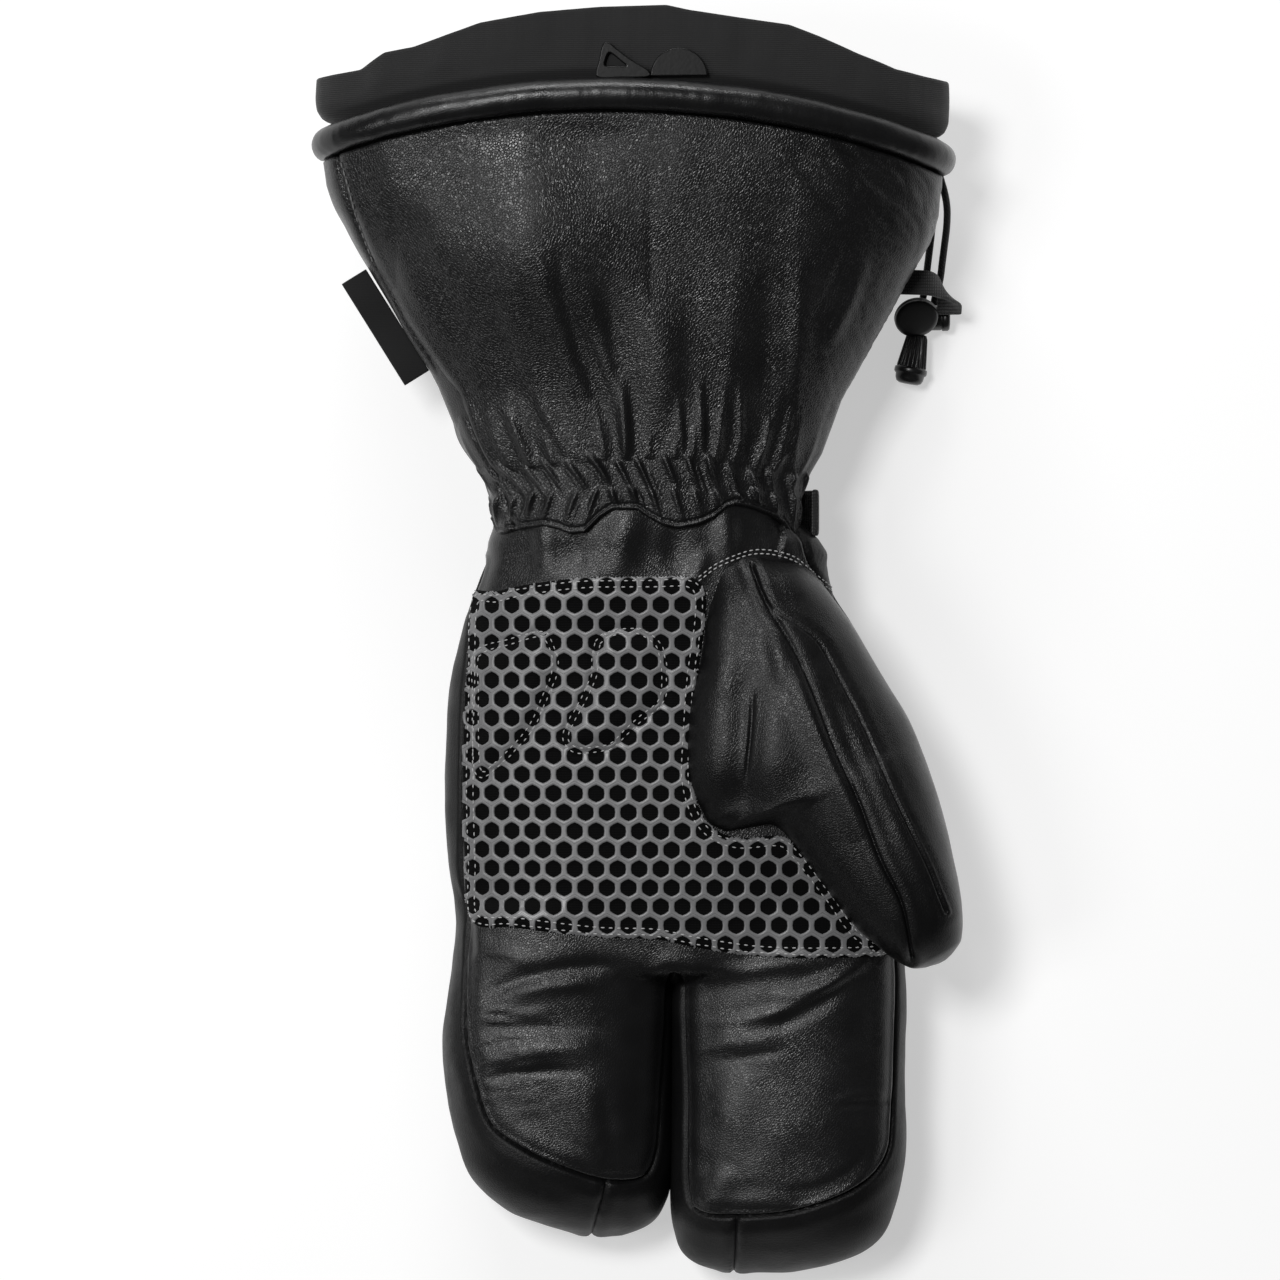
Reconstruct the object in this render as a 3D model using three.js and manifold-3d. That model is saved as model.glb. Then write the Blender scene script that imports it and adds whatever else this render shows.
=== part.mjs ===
// A lobster-claw winter mitt: a leather gauntlet gathered at the wrist, a padded hand with two wide
// finger stalls, and a thumb. It lies on its back with the palm up.
// Millimetres. While the pieces are made, Y = 0 is the wrist seam and +Y runs to the gauntlet's mouth,
// +Z points away from the surface that the mitt lies on, and the thumb is on the +X side.
import * as THREE from 'three';
import { mergeVertices } from 'three/addons/utils/BufferGeometryUtils.js';
import Module from 'manifold-3d';

const wasm = await Module();
wasm.setup();

const { lerp, degToRad } = THREE.MathUtils;

// Fits
const gap = 0.3; // between pieces that are sewn, seated or laid on each other

// Gauntlet
const gauntletLength = 103; // from the wrist seam to the mouth, at the sides
const mouthRise = 14.7; // how much further the middle of each face reaches
const mouthTilt = 2.2; // how much further the little finger's side reaches, and the other falls short
const mouthWidth = 185;
const mouthDepth = 69;
const mouthOffset = -1.4; // of the mouth's middle from the middle line
const wristWidth = 94;
const wristDepth = 50;
const wristOffset = 2.5;
const wristLift = 7; // of the back of the wrist above the surface
const gauntletSag = 8; // how far the gauntlet's back sinks towards the surface between wrist and mouth
const leatherWall = 2.4;
const pleatCount = 36;
const pleatHeight = 1.7;
const drapeCount = 9; // broad folds that run from the mouth to the gathers
const drapeHeight = 1.5;
const hemWave = 2.7; // of the gauntlet's sewn edge, up and down
const hemPitch = 34;
const hemCrest = -2.4; // the X of one crest of that wave
const sectionPower = 2.4; // how boxy every section is, where 2 is an ellipse

// Padded roll and nylon sleeve at the mouth
const rollRadius = 5;
const rollSides = 8;
const rollSteps = 44;
const sleeveWall = 1.2;
const sleeveLength = 25.5; // past the middle of the roll
const sleeveSides = 40;

// Hand and finger stalls
const handWidth = 137.2;
const palmLength = 137.1; // from the wrist seam to the crotch between the stalls
const palmDepth = 52;
const neckLength = 9; // of the hand's neck inside the gauntlet
const crotchOffset = 10.2; // of the gap between the stalls from the middle line
const stallGap = 1.2;
const outerStallWidth = 68.1; // for the ring finger and the little finger
const outerStallLength = 79.8;
const innerStallWidth = 69.6; // for the first two fingers
const innerStallLength = 90.9;
const padWall = 4.5;
const handSides = 22;
const palmSeamHeight = 39; // where the palm leather meets the side strips
const backSeamHeight = 9; // where the side strips meet the back
const outerTipSeam = 21.6; // from the gap to the seam that joins the strips at the outer stall's tip
const innerTipSeam = 18.9; // the same at the inner stall's tip

// Grip patch on the palm
const patchWall = 1;
const patchWidth = 124.8;
const patchLength = 114.3;
const patchLeft = -51.9; // its edge on the little finger's side
const patchTop = -18.3; // its edge next to the wrist

// Thumb
const thumbLength = 122.4;
const thumbBase = [32.1, -25.2];
const thumbAngle = degToRad(-62.4); // of its axis from +X
const thumbPalmWidth = 37.5; // from the axis to the sewn edge on the palm, where it is widest
const thumbOuterWidth = 25.2; // from the axis to the outer side, where it is widest
const thumbDepth = 50;
const thumbBaseHeight = 36; // of the axis above the surface
const thumbTipHeight = 46;
const thumbTipShift = 3; // of the very tip from the axis
const thumbWall = 3.5;
const thumbSides = 20;
const passageLength = 42; // of the way from the palm into the thumb
const passageWidth = 30;
const passageAlong = 28.5; // of its middle along the thumb's axis
const passageAcross = -7.5;
const thumbSeamBase = [34.2, -15.6]; // the long seam between the thumb's two halves, in plan
const thumbSeamTip = [83.4, -135];

// Strap round the back of the wrist
const strapWidth = 13.8;
const strapWall = 1.8;
const strapTop = 7.8; // of its edge above the wrist seam
const strapStart = degToRad(8); // from the thumb's side, under the back
const strapEnd = degToRad(-128);
const strapSteps = 22;

// Side tab on the gauntlet's seam
const tabLength = 36;
const tabWidth = 7.5;
const tabWall = 1.2;
const tabAt = 0.575; // of its middle, as a share of the gauntlet's length
const tabInset = 3; // sewn into the seam

// Drawcord, its lock and what holds it
const cordDiameter = 2.2;
const cordSides = 8;
const lockPlace = [84.3, 60.6];
const buttonRadius = 6.7;
const buttonWall = 3;
const buttonHeight = 10.5; // of its middle above the surface
const barrelRadius = 3.7;
const barrelReach = [-3.5, 10.5]; // along X from the lock's place
const endLength = 15.4;
const endRadius = 5;
const endTurn = degToRad(-10.5);
const endShift = 0.6; // of its middle from the lock's, along X
const lockTabWidth = 7.5;
const lockTabWall = 1.3;
const lockTabAt = 0.704; // of its sewn end, as a share of the gauntlet's length
const lockTabReach = 12.5; // out from the gauntlet's side
const lockTabDrop = 22; // from its sewn end to the lock
const lockTabTurn = 8.2; // back towards the lock, along Y

// Clip on the sleeve
const clipWall = 1.5;
const clipTabRadius = 8.3;
const clipTabAt = 11.9; // X of the half-round tab's middle
const clipLoopWidth = 14.6;
const clipLoopHeight = 8.6;
const clipLoopBar = 2.2;
const clipLoopAt = -11.4; // X of the loop's left corner

// The gauntlet's sections, from the wrist to the mouth.
// spread and rise run from the wrist's size (0) to the mouth's (1); sag, fold and drape are shares of
// gauntletSag, pleatHeight and drapeHeight.
const gauntletRows = [
  { at: 0, spread: 0, rise: 0, sag: 0, fold: 0.35, drape: 0 },
  { at: 0.045, spread: 0.01, rise: 0.02, sag: 0.02, fold: 1, drape: 0 },
  { at: 0.09, spread: 0.03, rise: 0.04, sag: 0.05, fold: 0.25, drape: 0 },
  { at: 0.135, spread: 0.07, rise: 0.07, sag: 0.12, fold: 1, drape: 0 },
  { at: 0.18, spread: 0.14, rise: 0.1, sag: 0.25, fold: 0.3, drape: 0 },
  { at: 0.25, spread: 0.24, rise: 0.17, sag: 0.55, fold: 0.75, drape: 0.3 },
  { at: 0.36, spread: 0.34, rise: 0.3, sag: 0.9, fold: 0.45, drape: 0.8 },
  { at: 0.51, spread: 0.523, rise: 0.5, sag: 1, fold: 0.15, drape: 1 },
  { at: 0.69, spread: 0.745, rise: 0.7, sag: 1, fold: 0, drape: 0.7 },
  { at: 0.865, spread: 0.956, rise: 0.9, sag: 0.6, fold: 0, drape: 0.2 },
  { at: 1, spread: 1, rise: 1, sag: 0, fold: 0, drape: 0 },
];

// The sleeve's sections. beyond is a share of sleeveLength from the roll's middle; side, face and under
// are how far the outside lies inside the mouth's outline, as shares of what clears the roll.
const sleeveRows = [
  { beyond: -0.8, side: 1.45, face: 1.3, under: 1.2 },
  { beyond: -0.2, side: 1, face: 1, under: 1 },
  { beyond: 0.2, side: 1, face: 1, under: 1 },
  { beyond: 0.42, side: 0.35, face: 0.75, under: 0.2 },
  { beyond: 0.75, side: -0.1, face: 0.8, under: -0.3 },
  { beyond: 1, side: -0.25, face: 0.9, under: -0.42 },
];

// The palm's sections, from the wrist to the crotch. at is a share of palmLength, left and right are
// shares of handWidth from the middle line, bottom and top are shares of palmDepth. A bottom under zero
// is flattened on the surface.
const palmRows = [
  { at: 0.0875, left: 0.326, right: 0.4045, bottom: 0.07, top: 1.02 },
  { at: 0.1575, left: 0.352, right: 0.422, bottom: 0.01, top: 1.02 },
  { at: 0.2626, left: 0.385, right: 0.481, bottom: -0.04, top: 1 },
  { at: 0.4026, left: 0.411, right: 0.525, bottom: -0.06, top: 0.98 },
  { at: 0.6127, left: 0.422, right: 0.555, bottom: -0.06, top: 0.97 },
  { at: 0.788, left: 0.411, right: 0.573, bottom: -0.06, top: 0.96 },
  { at: 1, left: 0.407, right: 0.579, bottom: -0.06, top: 0.92 },
];

// The stalls' sections, from inside the palm to the tip. at is a share of the stall's length from the
// crotch; outer and inner are shares of its width from the gap; bottom and top are shares of palmDepth.
const outerStallRows = [
  { at: -0.256, outer: 0.952, inner: 0, bottom: -0.06, top: 0.93 },
  { at: 0, outer: 0.974, inner: 0, bottom: -0.06, top: 0.92 },
  { at: 0.27, outer: 1, inner: 0, bottom: -0.06, top: 0.9 },
  { at: 0.545, outer: 0.969, inner: 0, bottom: -0.06, top: 0.87 },
  { at: 0.703, outer: 0.916, inner: 0.004, bottom: -0.05, top: 0.82 },
  { at: 0.816, outer: 0.837, inner: 0.013, bottom: -0.02, top: 0.73 },
  { at: 0.898, outer: 0.722, inner: 0.04, bottom: 0.04, top: 0.63 },
  { at: 0.959, outer: 0.537, inner: 0.09, bottom: 0.13, top: 0.52 },
];
const outerStallTip = { outer: 0.3, height: 0.34 };
const innerStallRows = [
  { at: -0.224, outer: 0.983, inner: 0, bottom: -0.06, top: 0.93 },
  { at: 0, outer: 0.996, inner: 0, bottom: -0.06, top: 0.93 },
  { at: 0.313, outer: 1, inner: 0, bottom: -0.06, top: 0.91 },
  { at: 0.558, outer: 0.998, inner: 0, bottom: -0.06, top: 0.89 },
  { at: 0.716, outer: 0.974, inner: 0, bottom: -0.05, top: 0.84 },
  { at: 0.795, outer: 0.95, inner: 0, bottom: -0.02, top: 0.78 },
  { at: 0.865, outer: 0.9, inner: 0.01, bottom: 0.03, top: 0.69 },
  { at: 0.931, outer: 0.8, inner: 0.04, bottom: 0.1, top: 0.58 },
  { at: 0.974, outer: 0.64, inner: 0.1, bottom: 0.17, top: 0.48 },
];
const innerStallTip = { outer: 0.36, height: 0.32 };

// The thumb's sections, from inside the palm to the tip, as shares of thumbLength, thumbPalmWidth,
// thumbOuterWidth and thumbDepth.
const thumbRows = [
  { at: -0.11, palm: 0.3, outer: 0.3, depth: 0.6 },
  { at: 0, palm: 0.46, outer: 0.81, depth: 0.85 },
  { at: 0.1225, palm: 0.7, outer: 0.94, depth: 0.95 },
  { at: 0.245, palm: 0.88, outer: 0.98, depth: 1 },
  { at: 0.343, palm: 1, outer: 1, depth: 1 },
  { at: 0.49, palm: 0.92, outer: 0.99, depth: 1 },
  { at: 0.576, palm: 0.76, outer: 0.95, depth: 0.98 },
  { at: 0.674, palm: 0.65, outer: 0.87, depth: 0.94 },
  { at: 0.833, palm: 0.5, outer: 0.66, depth: 0.82 },
  { at: 0.926, palm: 0.37, outer: 0.51, depth: 0.65 },
  { at: 0.975, palm: 0.22, outer: 0.38, depth: 0.42 },
];

// The patch's outline, as shares of patchWidth across and patchLength down, clockwise from the wrist.
const patchOutline = [
  { across: 0.012, down: 0.06 },
  { across: 0.132, down: 0.024 },
  { across: 0.325, down: 0 },
  { across: 0.558, down: 0.003 },
  { across: 0.577, down: 0.06 },
  { across: 0.558, down: 0.27 },
  { across: 0.546, down: 0.533 },
  { across: 0.567, down: 0.617 },
  { across: 0.63, down: 0.68 },
  { across: 0.8, down: 0.65 },
  { across: 0.89, down: 0.72 },
  { across: 0.97, down: 0.86 },
  { across: 1.02, down: 0.979 },
  { across: 0.863, down: 1 },
  { across: 0.702, down: 0.995 },
  { across: 0.55, down: 0.971 },
  { across: 0.3125, down: 0.945 },
  { across: 0.125, down: 0.921 },
  { across: 0.012, down: 0.903 },
  { across: -0.01, down: 0.585 },
];

// The drawcord's two strands, from the roll to the lock.
const strandRoutes = {
  drawcord_a: [
    [90.6, 102.6, 26],
    [92.2, 97.5, 24.2],
    [93.1, 93, 21.4],
    [93.2, 88, 17.6],
    [92.8, 83, 13.6],
    [92.3, 78, 9.9],
    [91.8, 73, 6.6],
    [91, 69, 4.4],
    [90.2, 66.4, 3.2],
    [90, 64.5, 3],
  ],
  drawcord_b: [
    [88.2, 102.6, 22.5],
    [88.9, 97, 21],
    [89.1, 93, 18.8],
    [88.9, 88, 15.6],
    [88.5, 83, 12.2],
    [88, 78, 9],
    [87.5, 73, 6.2],
    [87, 69, 4.2],
    [86.6, 66.4, 3.2],
    [86.5, 64.5, 3],
  ],
};

// A closed mesh from its points and triangles, with the faces turned outwards.
function closedGeometry(points, triangles) {
  let volume = 0;
  for (const [a, b, c] of triangles) {
    volume += points[a].dot(new THREE.Vector3().crossVectors(points[b], points[c]));
  }
  const outward = volume > 0 ? triangles : triangles.map(([a, b, c]) => [a, c, b]);
  const geometry = new THREE.BufferGeometry().setFromPoints(points);
  geometry.setIndex(outward.flat());
  return geometry;
}

// Skins rings that all have as many points. A loop joins the last ring to the first, as a tube's outside
// joins its inside, and otherwise each end closes on a point.
function skinRings(rings, { loop = false, startPoint, endPoint } = {}) {
  const sides = rings[0].length;
  const points = rings.flat();
  const triangles = [];
  const bands = loop ? rings.length : rings.length - 1;
  for (let r = 0; r < bands; r += 1) {
    const here = r * sides;
    const next = ((r + 1) % rings.length) * sides;
    for (let i = 0; i < sides; i += 1) {
      const j = (i + 1) % sides;
      triangles.push([here + i, here + j, next + j], [here + i, next + j, next + i]);
    }
  }
  if (!loop) {
    const last = (rings.length - 1) * sides;
    const start = points.push(startPoint ?? middleOf(rings[0])) - 1;
    const end = points.push(endPoint ?? middleOf(rings[rings.length - 1])) - 1;
    for (let i = 0; i < sides; i += 1) {
      const j = (i + 1) % sides;
      triangles.push([start, j, i], [end, last + i, last + j]);
    }
  }
  return closedGeometry(points, triangles);
}

function middleOf(ring) {
  return ring.reduce((sum, p) => sum.add(p), new THREE.Vector3()).divideScalar(ring.length);
}

function solidOf(geometry) {
  const bare = geometry.index && !geometry.attributes.uv ? geometry : weld(geometry);
  const vertProperties = new Float32Array(bare.attributes.position.array);
  const triVerts = new Uint32Array(bare.index.array);
  return new wasm.Manifold(new wasm.Mesh({ numProp: 3, vertProperties, triVerts }));
}

function weld(geometry) {
  const bare = geometry.clone();
  bare.deleteAttribute('normal');
  bare.deleteAttribute('uv');
  return mergeVertices(bare, 1e-5);
}

function geometryOf(solid) {
  const { vertProperties, triVerts } = solid.getMesh();
  const geometry = new THREE.BufferGeometry();
  geometry.setAttribute('position', new THREE.BufferAttribute(vertProperties, 3));
  geometry.setIndex(new THREE.BufferAttribute(triVerts, 1));
  return geometry;
}

// One point of a rounded section, with the outward direction there.
function sectionPoint(angle, left, right, bottom, top) {
  const halfWidth = (right - left) / 2;
  const halfDepth = (top - bottom) / 2;
  const cos = Math.cos(angle);
  const sin = Math.sin(angle);
  const reach = (value) => Math.sign(value) * Math.abs(value) ** (2 / sectionPower);
  const lean = (value) => Math.sign(value) * Math.abs(value) ** (2 - 2 / sectionPower);
  const out = new THREE.Vector2(lean(cos) / halfWidth, lean(sin) / halfDepth).normalize();
  return {
    x: (left + right) / 2 + halfWidth * reach(cos),
    z: (bottom + top) / 2 + halfDepth * reach(sin),
    outX: out.x,
    outZ: out.y,
  };
}

// A ring of a hand or stall section at y, grown outwards by grow, flat where it would pass the surface.
function handRing(y, left, right, bottom, top, grow) {
  const ring = [];
  for (let i = 0; i < handSides; i += 1) {
    const angle = (i / handSides) * 2 * Math.PI;
    const p = sectionPoint(angle, left - grow, right + grow, bottom - grow, top + grow);
    ring.push(new THREE.Vector3(p.x, y, Math.max(p.z, -grow)));
  }
  return ring;
}

// A table read between its rows.
function rowAt(rows, at) {
  const next = Math.max(1, rows.findIndex((row) => row.at >= at));
  const [low, high] = [rows[next - 1], rows[next]];
  const t = (at - low.at) / (high.at - low.at);
  return Object.fromEntries(Object.keys(low).map((key) => [key, lerp(low[key], high[key], t)]));
}

// Gauntlet
const mouthLift = rollRadius - leatherWall / 2; // the roll's underside touches the surface

function gauntletPoint(row, angle, foldShare, outset) {
  const halfWidth = lerp(wristWidth, mouthWidth, row.spread) / 2;
  const centre = lerp(wristOffset, mouthOffset, row.at);
  const bottom = lerp(wristLift, mouthLift, row.at) - gauntletSag * row.sag;
  const top = lerp(wristLift + wristDepth, mouthLift + mouthDepth, row.rise);
  const p = sectionPoint(angle, centre - halfWidth, centre + halfWidth, bottom, top);
  const drape = row.drape * drapeHeight * Math.cos(drapeCount * angle) * Math.sin(angle) ** 2;
  const out = outset + foldShare * row.fold * pleatHeight + drape;
  const across = (p.x - centre) / halfWidth;
  const mouth = gauntletLength + mouthRise * (1 - across ** 2) - mouthTilt * across;
  const hem = hemWave * Math.cos((2 * Math.PI * (p.x - hemCrest)) / hemPitch);
  const y = lerp(hem, mouth, row.at);
  return new THREE.Vector3(p.x + p.outX * out, y, Math.max(p.z + p.outZ * out, -outset));
}

function gauntletRings(outset, folded) {
  const sides = 2 * pleatCount;
  return gauntletRows.map((row) => {
    const ring = [];
    for (let i = 0; i < sides; i += 1) {
      const foldShare = folded ? i % 2 : 0;
      ring.push(gauntletPoint(row, (i / sides) * 2 * Math.PI, foldShare, outset));
    }
    return ring;
  });
}

function makeGauntlet() {
  const outside = gauntletRings(0, true);
  const inside = gauntletRings(-leatherWall, false).filter((ring, i) => i % 2 === 0);
  return skinRings([...outside, ...inside.reverse()], { loop: true });
}

const gauntletBody = solidOf(skinRings(gauntletRings(gap, true))); // what laid-on pieces keep clear of

// Roll and sleeve
const mouthRow = gauntletRows[gauntletRows.length - 1];
const sleeveInset = leatherWall / 2 + rollRadius + gap; // from the mouth's outline, to clear the roll

function makeRoll() {
  const rings = [];
  for (let i = 0; i < rollSteps; i += 1) {
    const angle = (i / rollSteps) * 2 * Math.PI;
    const middle = gauntletPoint(mouthRow, angle, 0, -leatherWall / 2);
    const outward = gauntletPoint(mouthRow, angle, 0, rollRadius - leatherWall / 2).sub(middle);
    outward.setY(0).normalize();
    middle.y += rollRadius + gap;
    const ring = [];
    for (let j = 0; j < rollSides; j += 1) {
      const turn = ((j + 0.5) / rollSides) * 2 * Math.PI;
      const point = middle.clone().addScaledVector(outward, rollRadius * Math.cos(turn));
      point.y += rollRadius * Math.sin(turn);
      ring.push(point);
    }
    rings.push(ring);
  }
  return skinRings(rings, { loop: true });
}

function sleeveRing(row, inset) {
  const ring = [];
  for (let i = 0; i < sleeveSides; i += 1) {
    const angle = (i / sleeveSides) * 2 * Math.PI;
    const edge = gauntletPoint(mouthRow, angle, 0, 0);
    const out = gauntletPoint(mouthRow, angle, 0, -1).sub(edge).negate();
    const faceShare = out.z > 0 ? row.face : row.under;
    edge.x -= out.x * (row.side * sleeveInset + inset);
    edge.z -= out.z * (faceShare * sleeveInset + inset);
    edge.y += rollRadius + gap + row.beyond * sleeveLength;
    ring.push(edge);
  }
  return ring;
}

function makeSleeve() {
  const outside = sleeveRows.map((row) => sleeveRing(row, 0));
  const inside = sleeveRows.map((row) => sleeveRing(row, sleeveWall));
  return skinRings([...outside, ...inside.reverse()], { loop: true });
}

// Hand
function palmLoft(grow) {
  const fit = leatherWall + gap;
  const neck = (y) => handRing(
    y,
    wristOffset - wristWidth / 2 + fit,
    wristOffset + wristWidth / 2 - fit,
    wristLift + fit,
    wristLift + wristDepth - fit,
    grow,
  );
  const opening = grow < 0 ? neckLength + padWall : neckLength; // a hollow runs out through the neck
  const rings = [neck(opening), neck(-hemWave - 1.5)];
  for (const row of palmRows) {
    rings.push(handRing(
      -(palmLength + grow) * row.at,
      -row.left * handWidth,
      row.right * handWidth,
      row.bottom * palmDepth,
      row.top * palmDepth,
      grow,
    ));
  }
  return solidOf(skinRings(rings));
}

// side is -1 for the stall on the little finger's side of the gap and 1 for the other.
function stallLoft(rows, tip, side, width, length, grow) {
  const across = (share) => crotchOffset + side * (stallGap / 2 + share * width);
  const rings = rows.map((row) => {
    const [left, right] = [across(row.inner), across(row.outer)].sort((a, b) => a - b);
    const y = -palmLength - row.at * (row.at > 0 ? length + grow : length);
    return handRing(y, left, right, row.bottom * palmDepth, row.top * palmDepth, grow);
  });
  const y = -palmLength - length - grow;
  const endPoint = new THREE.Vector3(across(tip.outer), y, tip.height * palmDepth);
  return solidOf(skinRings(rings, { endPoint }));
}

function handBody(grow) {
  return palmLoft(grow)
    .add(stallLoft(outerStallRows, outerStallTip, -1, outerStallWidth, outerStallLength, grow))
    .add(stallLoft(innerStallRows, innerStallTip, 1, innerStallWidth, innerStallLength, grow));
}

// A block over the whole hand, or over what lies between the given bounds of each axis.
const handSpan = 2 * (palmLength + innerStallLength);

function block({ x = [-handSpan, handSpan], y = [-handSpan, handSpan], z = [-handSpan, handSpan] }) {
  const geometry = new THREE.BoxGeometry(x[1] - x[0], y[1] - y[0], z[1] - z[0]);
  geometry.translate((x[0] + x[1]) / 2, (y[0] + y[1]) / 2, (z[0] + z[1]) / 2);
  return solidOf(geometry);
}

// Grip patch
function patchPrism(grow) {
  const corners = patchOutline.map(({ across, down }) => new THREE.Vector2(
    patchLeft + across * patchWidth,
    patchTop - down * patchLength,
  ));
  const count = corners.length;
  const grown = corners.map((corner, i) => {
    const before = corner.clone().sub(corners[(i + count - 1) % count]).normalize();
    const after = corners[(i + 1) % count].clone().sub(corner).normalize();
    const out = new THREE.Vector2(-before.y - after.y, before.x + after.x);
    return corner.clone().addScaledVector(out, (2 * grow) / out.lengthSq());
  });
  const prism = new THREE.ExtrudeGeometry(new THREE.Shape(grown), { depth: palmDepth, bevelEnabled: false });
  prism.translate(0, 0, palmSeamHeight + gap);
  return solidOf(prism);
}

// The hand with its patch, grown by a clearance, which the thumb lies on.
function handUnderThumb(clearance) {
  const raised = handBody(clearance + gap + patchWall).intersect(patchPrism(clearance));
  return handBody(clearance).add(raised);
}

// Thumb
const thumbDirection = new THREE.Vector3(Math.cos(thumbAngle), Math.sin(thumbAngle), 0);
const thumbAcross = new THREE.Vector3(-thumbDirection.y, thumbDirection.x, 0);

function thumbPoint(along, across, z) {
  return new THREE.Vector3(thumbBase[0], thumbBase[1], z)
    .addScaledVector(thumbDirection, along)
    .addScaledVector(thumbAcross, across);
}

function thumbLoft(grow) {
  const rings = thumbRows.map((row) => {
    const along = row.at * (row.at > 0 ? thumbLength + grow : thumbLength);
    const height = lerp(thumbBaseHeight, thumbTipHeight, row.at);
    const half = (row.depth * thumbDepth) / 2 + grow;
    const ring = [];
    for (let i = 0; i < thumbSides; i += 1) {
      const angle = (i / thumbSides) * 2 * Math.PI;
      const left = -row.palm * thumbPalmWidth - grow;
      const right = row.outer * thumbOuterWidth + grow;
      const p = sectionPoint(angle, left, right, height - half, height + half);
      ring.push(thumbPoint(along, p.x, p.z));
    }
    return ring;
  });
  const endPoint = thumbPoint(thumbLength + grow, thumbTipShift, thumbTipHeight);
  return solidOf(skinRings(rings, { endPoint }));
}

function thumbPassage() {
  const tube = new THREE.CylinderGeometry(passageWidth / 2, passageWidth / 2, 2 * palmDepth, 24);
  tube.rotateX(Math.PI / 2);
  tube.scale(passageLength / passageWidth, 1, 1);
  tube.rotateZ(thumbAngle);
  const middle = thumbPoint(passageAlong, passageAcross, backSeamHeight + gap + palmDepth);
  tube.translate(middle.x, middle.y, middle.z);
  return solidOf(tube);
}

// A block on one side of the thumb's long seam: side is -1 towards the palm and 1 outwards.
function besideThumbSeam(side) {
  const run = new THREE.Vector2(thumbSeamTip[0] - thumbSeamBase[0], thumbSeamTip[1] - thumbSeamBase[1]);
  const span = 2 * run.length();
  const block = new THREE.BoxGeometry(span, span, span);
  block.translate(0, side * (span / 2 + gap / 2), 0);
  block.rotateZ(run.angle());
  block.translate(thumbSeamBase[0], thumbSeamBase[1], 0);
  return solidOf(block);
}

function thumbShell() {
  const hollow = thumbLoft(-thumbWall);
  return thumbLoft(0)
    .subtract(handUnderThumb(gap))
    .subtract(hollow.subtract(handUnderThumb(gap + thumbWall)))
    .subtract(hollow.intersect(thumbPassage()));
}

// Wrist strap
function makeStrap() {
  const spread = (mouthWidth - wristWidth) / 2;
  const gathers = gauntletRows.slice(0, 3).map((row) => row.fold * pleatHeight + row.spread * spread);
  const inner = Math.max(...gathers) + gap;
  const rings = [];
  for (let i = 0; i <= strapSteps; i += 1) {
    const angle = lerp(strapStart, strapEnd, i / strapSteps);
    const near = gauntletPoint(gauntletRows[0], angle, 0, inner);
    const far = gauntletPoint(gauntletRows[0], angle, 0, inner + strapWall);
    const low = strapTop - strapWidth;
    const corners = [[near, strapTop], [far, strapTop], [far, low], [near, low]];
    rings.push(corners.map(([p, y]) => new THREE.Vector3(p.x, y, p.z)));
  }
  return geometryOf(solidOf(skinRings(rings)).subtract(handBody(gap)));
}

// Side tab, along the gauntlet's seam on the little finger's side
function makeSideTab() {
  const half = tabLength / 2 / gauntletLength;
  const high = gauntletPoint(rowAt(gauntletRows, tabAt + half), Math.PI, 0, 0);
  const low = gauntletPoint(rowAt(gauntletRows, tabAt - half), Math.PI, 0, 0);
  const out = new THREE.Vector2(low.y - high.y, high.x - low.x).normalize();
  const corner = (p, outward) => new THREE.Vector2(p.x + out.x * outward, p.y + out.y * outward);
  const outline = [corner(high, -tabInset), corner(low, -tabInset), corner(low, tabWidth), corner(high, tabWidth)];
  const plate = new THREE.ExtrudeGeometry(new THREE.Shape(outline), { depth: tabWall, bevelEnabled: false });
  plate.translate(0, 0, (high.z + low.z - tabWall) / 2);
  return geometryOf(solidOf(plate).subtract(gauntletBody));
}

// Webbing that holds the lock. reach, drop and turn are shares of lockTabReach, lockTabDrop and
// lockTabTurn; twist turns its width from along Y (0) to along X (1).
const lockTabRows = [
  { reach: 0, drop: 0, turn: 0, twist: 0 },
  { reach: 0.35, drop: 0.08, turn: 0.02, twist: 0.05 },
  { reach: 0.68, drop: 0.3, turn: 0.12, twist: 0.2 },
  { reach: 0.9, drop: 0.58, turn: 0.4, twist: 0.5 },
  { reach: 1, drop: 0.85, turn: 0.75, twist: 0.85 },
  { reach: 1, drop: 1, turn: 1, twist: 1 },
];

function makeLockTab() {
  const root = gauntletPoint(rowAt(gauntletRows, lockTabAt), 0, 0, gap);
  const middles = lockTabRows.map(({ reach, drop, turn }) => new THREE.Vector3(
    root.x + reach * lockTabReach,
    root.y - turn * lockTabTurn,
    root.z - drop * lockTabDrop,
  ));
  const rings = middles.map((middle, i) => {
    const before = middles[Math.max(0, i - 1)];
    const after = middles[Math.min(middles.length - 1, i + 1)];
    const run = after.clone().sub(before).normalize();
    const turn = (lockTabRows[i].twist * Math.PI) / 2;
    const wide = new THREE.Vector3(-Math.sin(turn), Math.cos(turn), 0);
    const thick = new THREE.Vector3().crossVectors(run, wide).normalize();
    wide.crossVectors(thick, run).normalize();
    const corner = (w, t) => middle.clone()
      .addScaledVector(wide, (w * lockTabWidth) / 2)
      .addScaledVector(thick, (t * lockTabWall) / 2);
    return [corner(-1, -1), corner(1, -1), corner(1, 1), corner(-1, 1)];
  });
  return geometryOf(solidOf(skinRings(rings)).subtract(gauntletBody));
}

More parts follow.
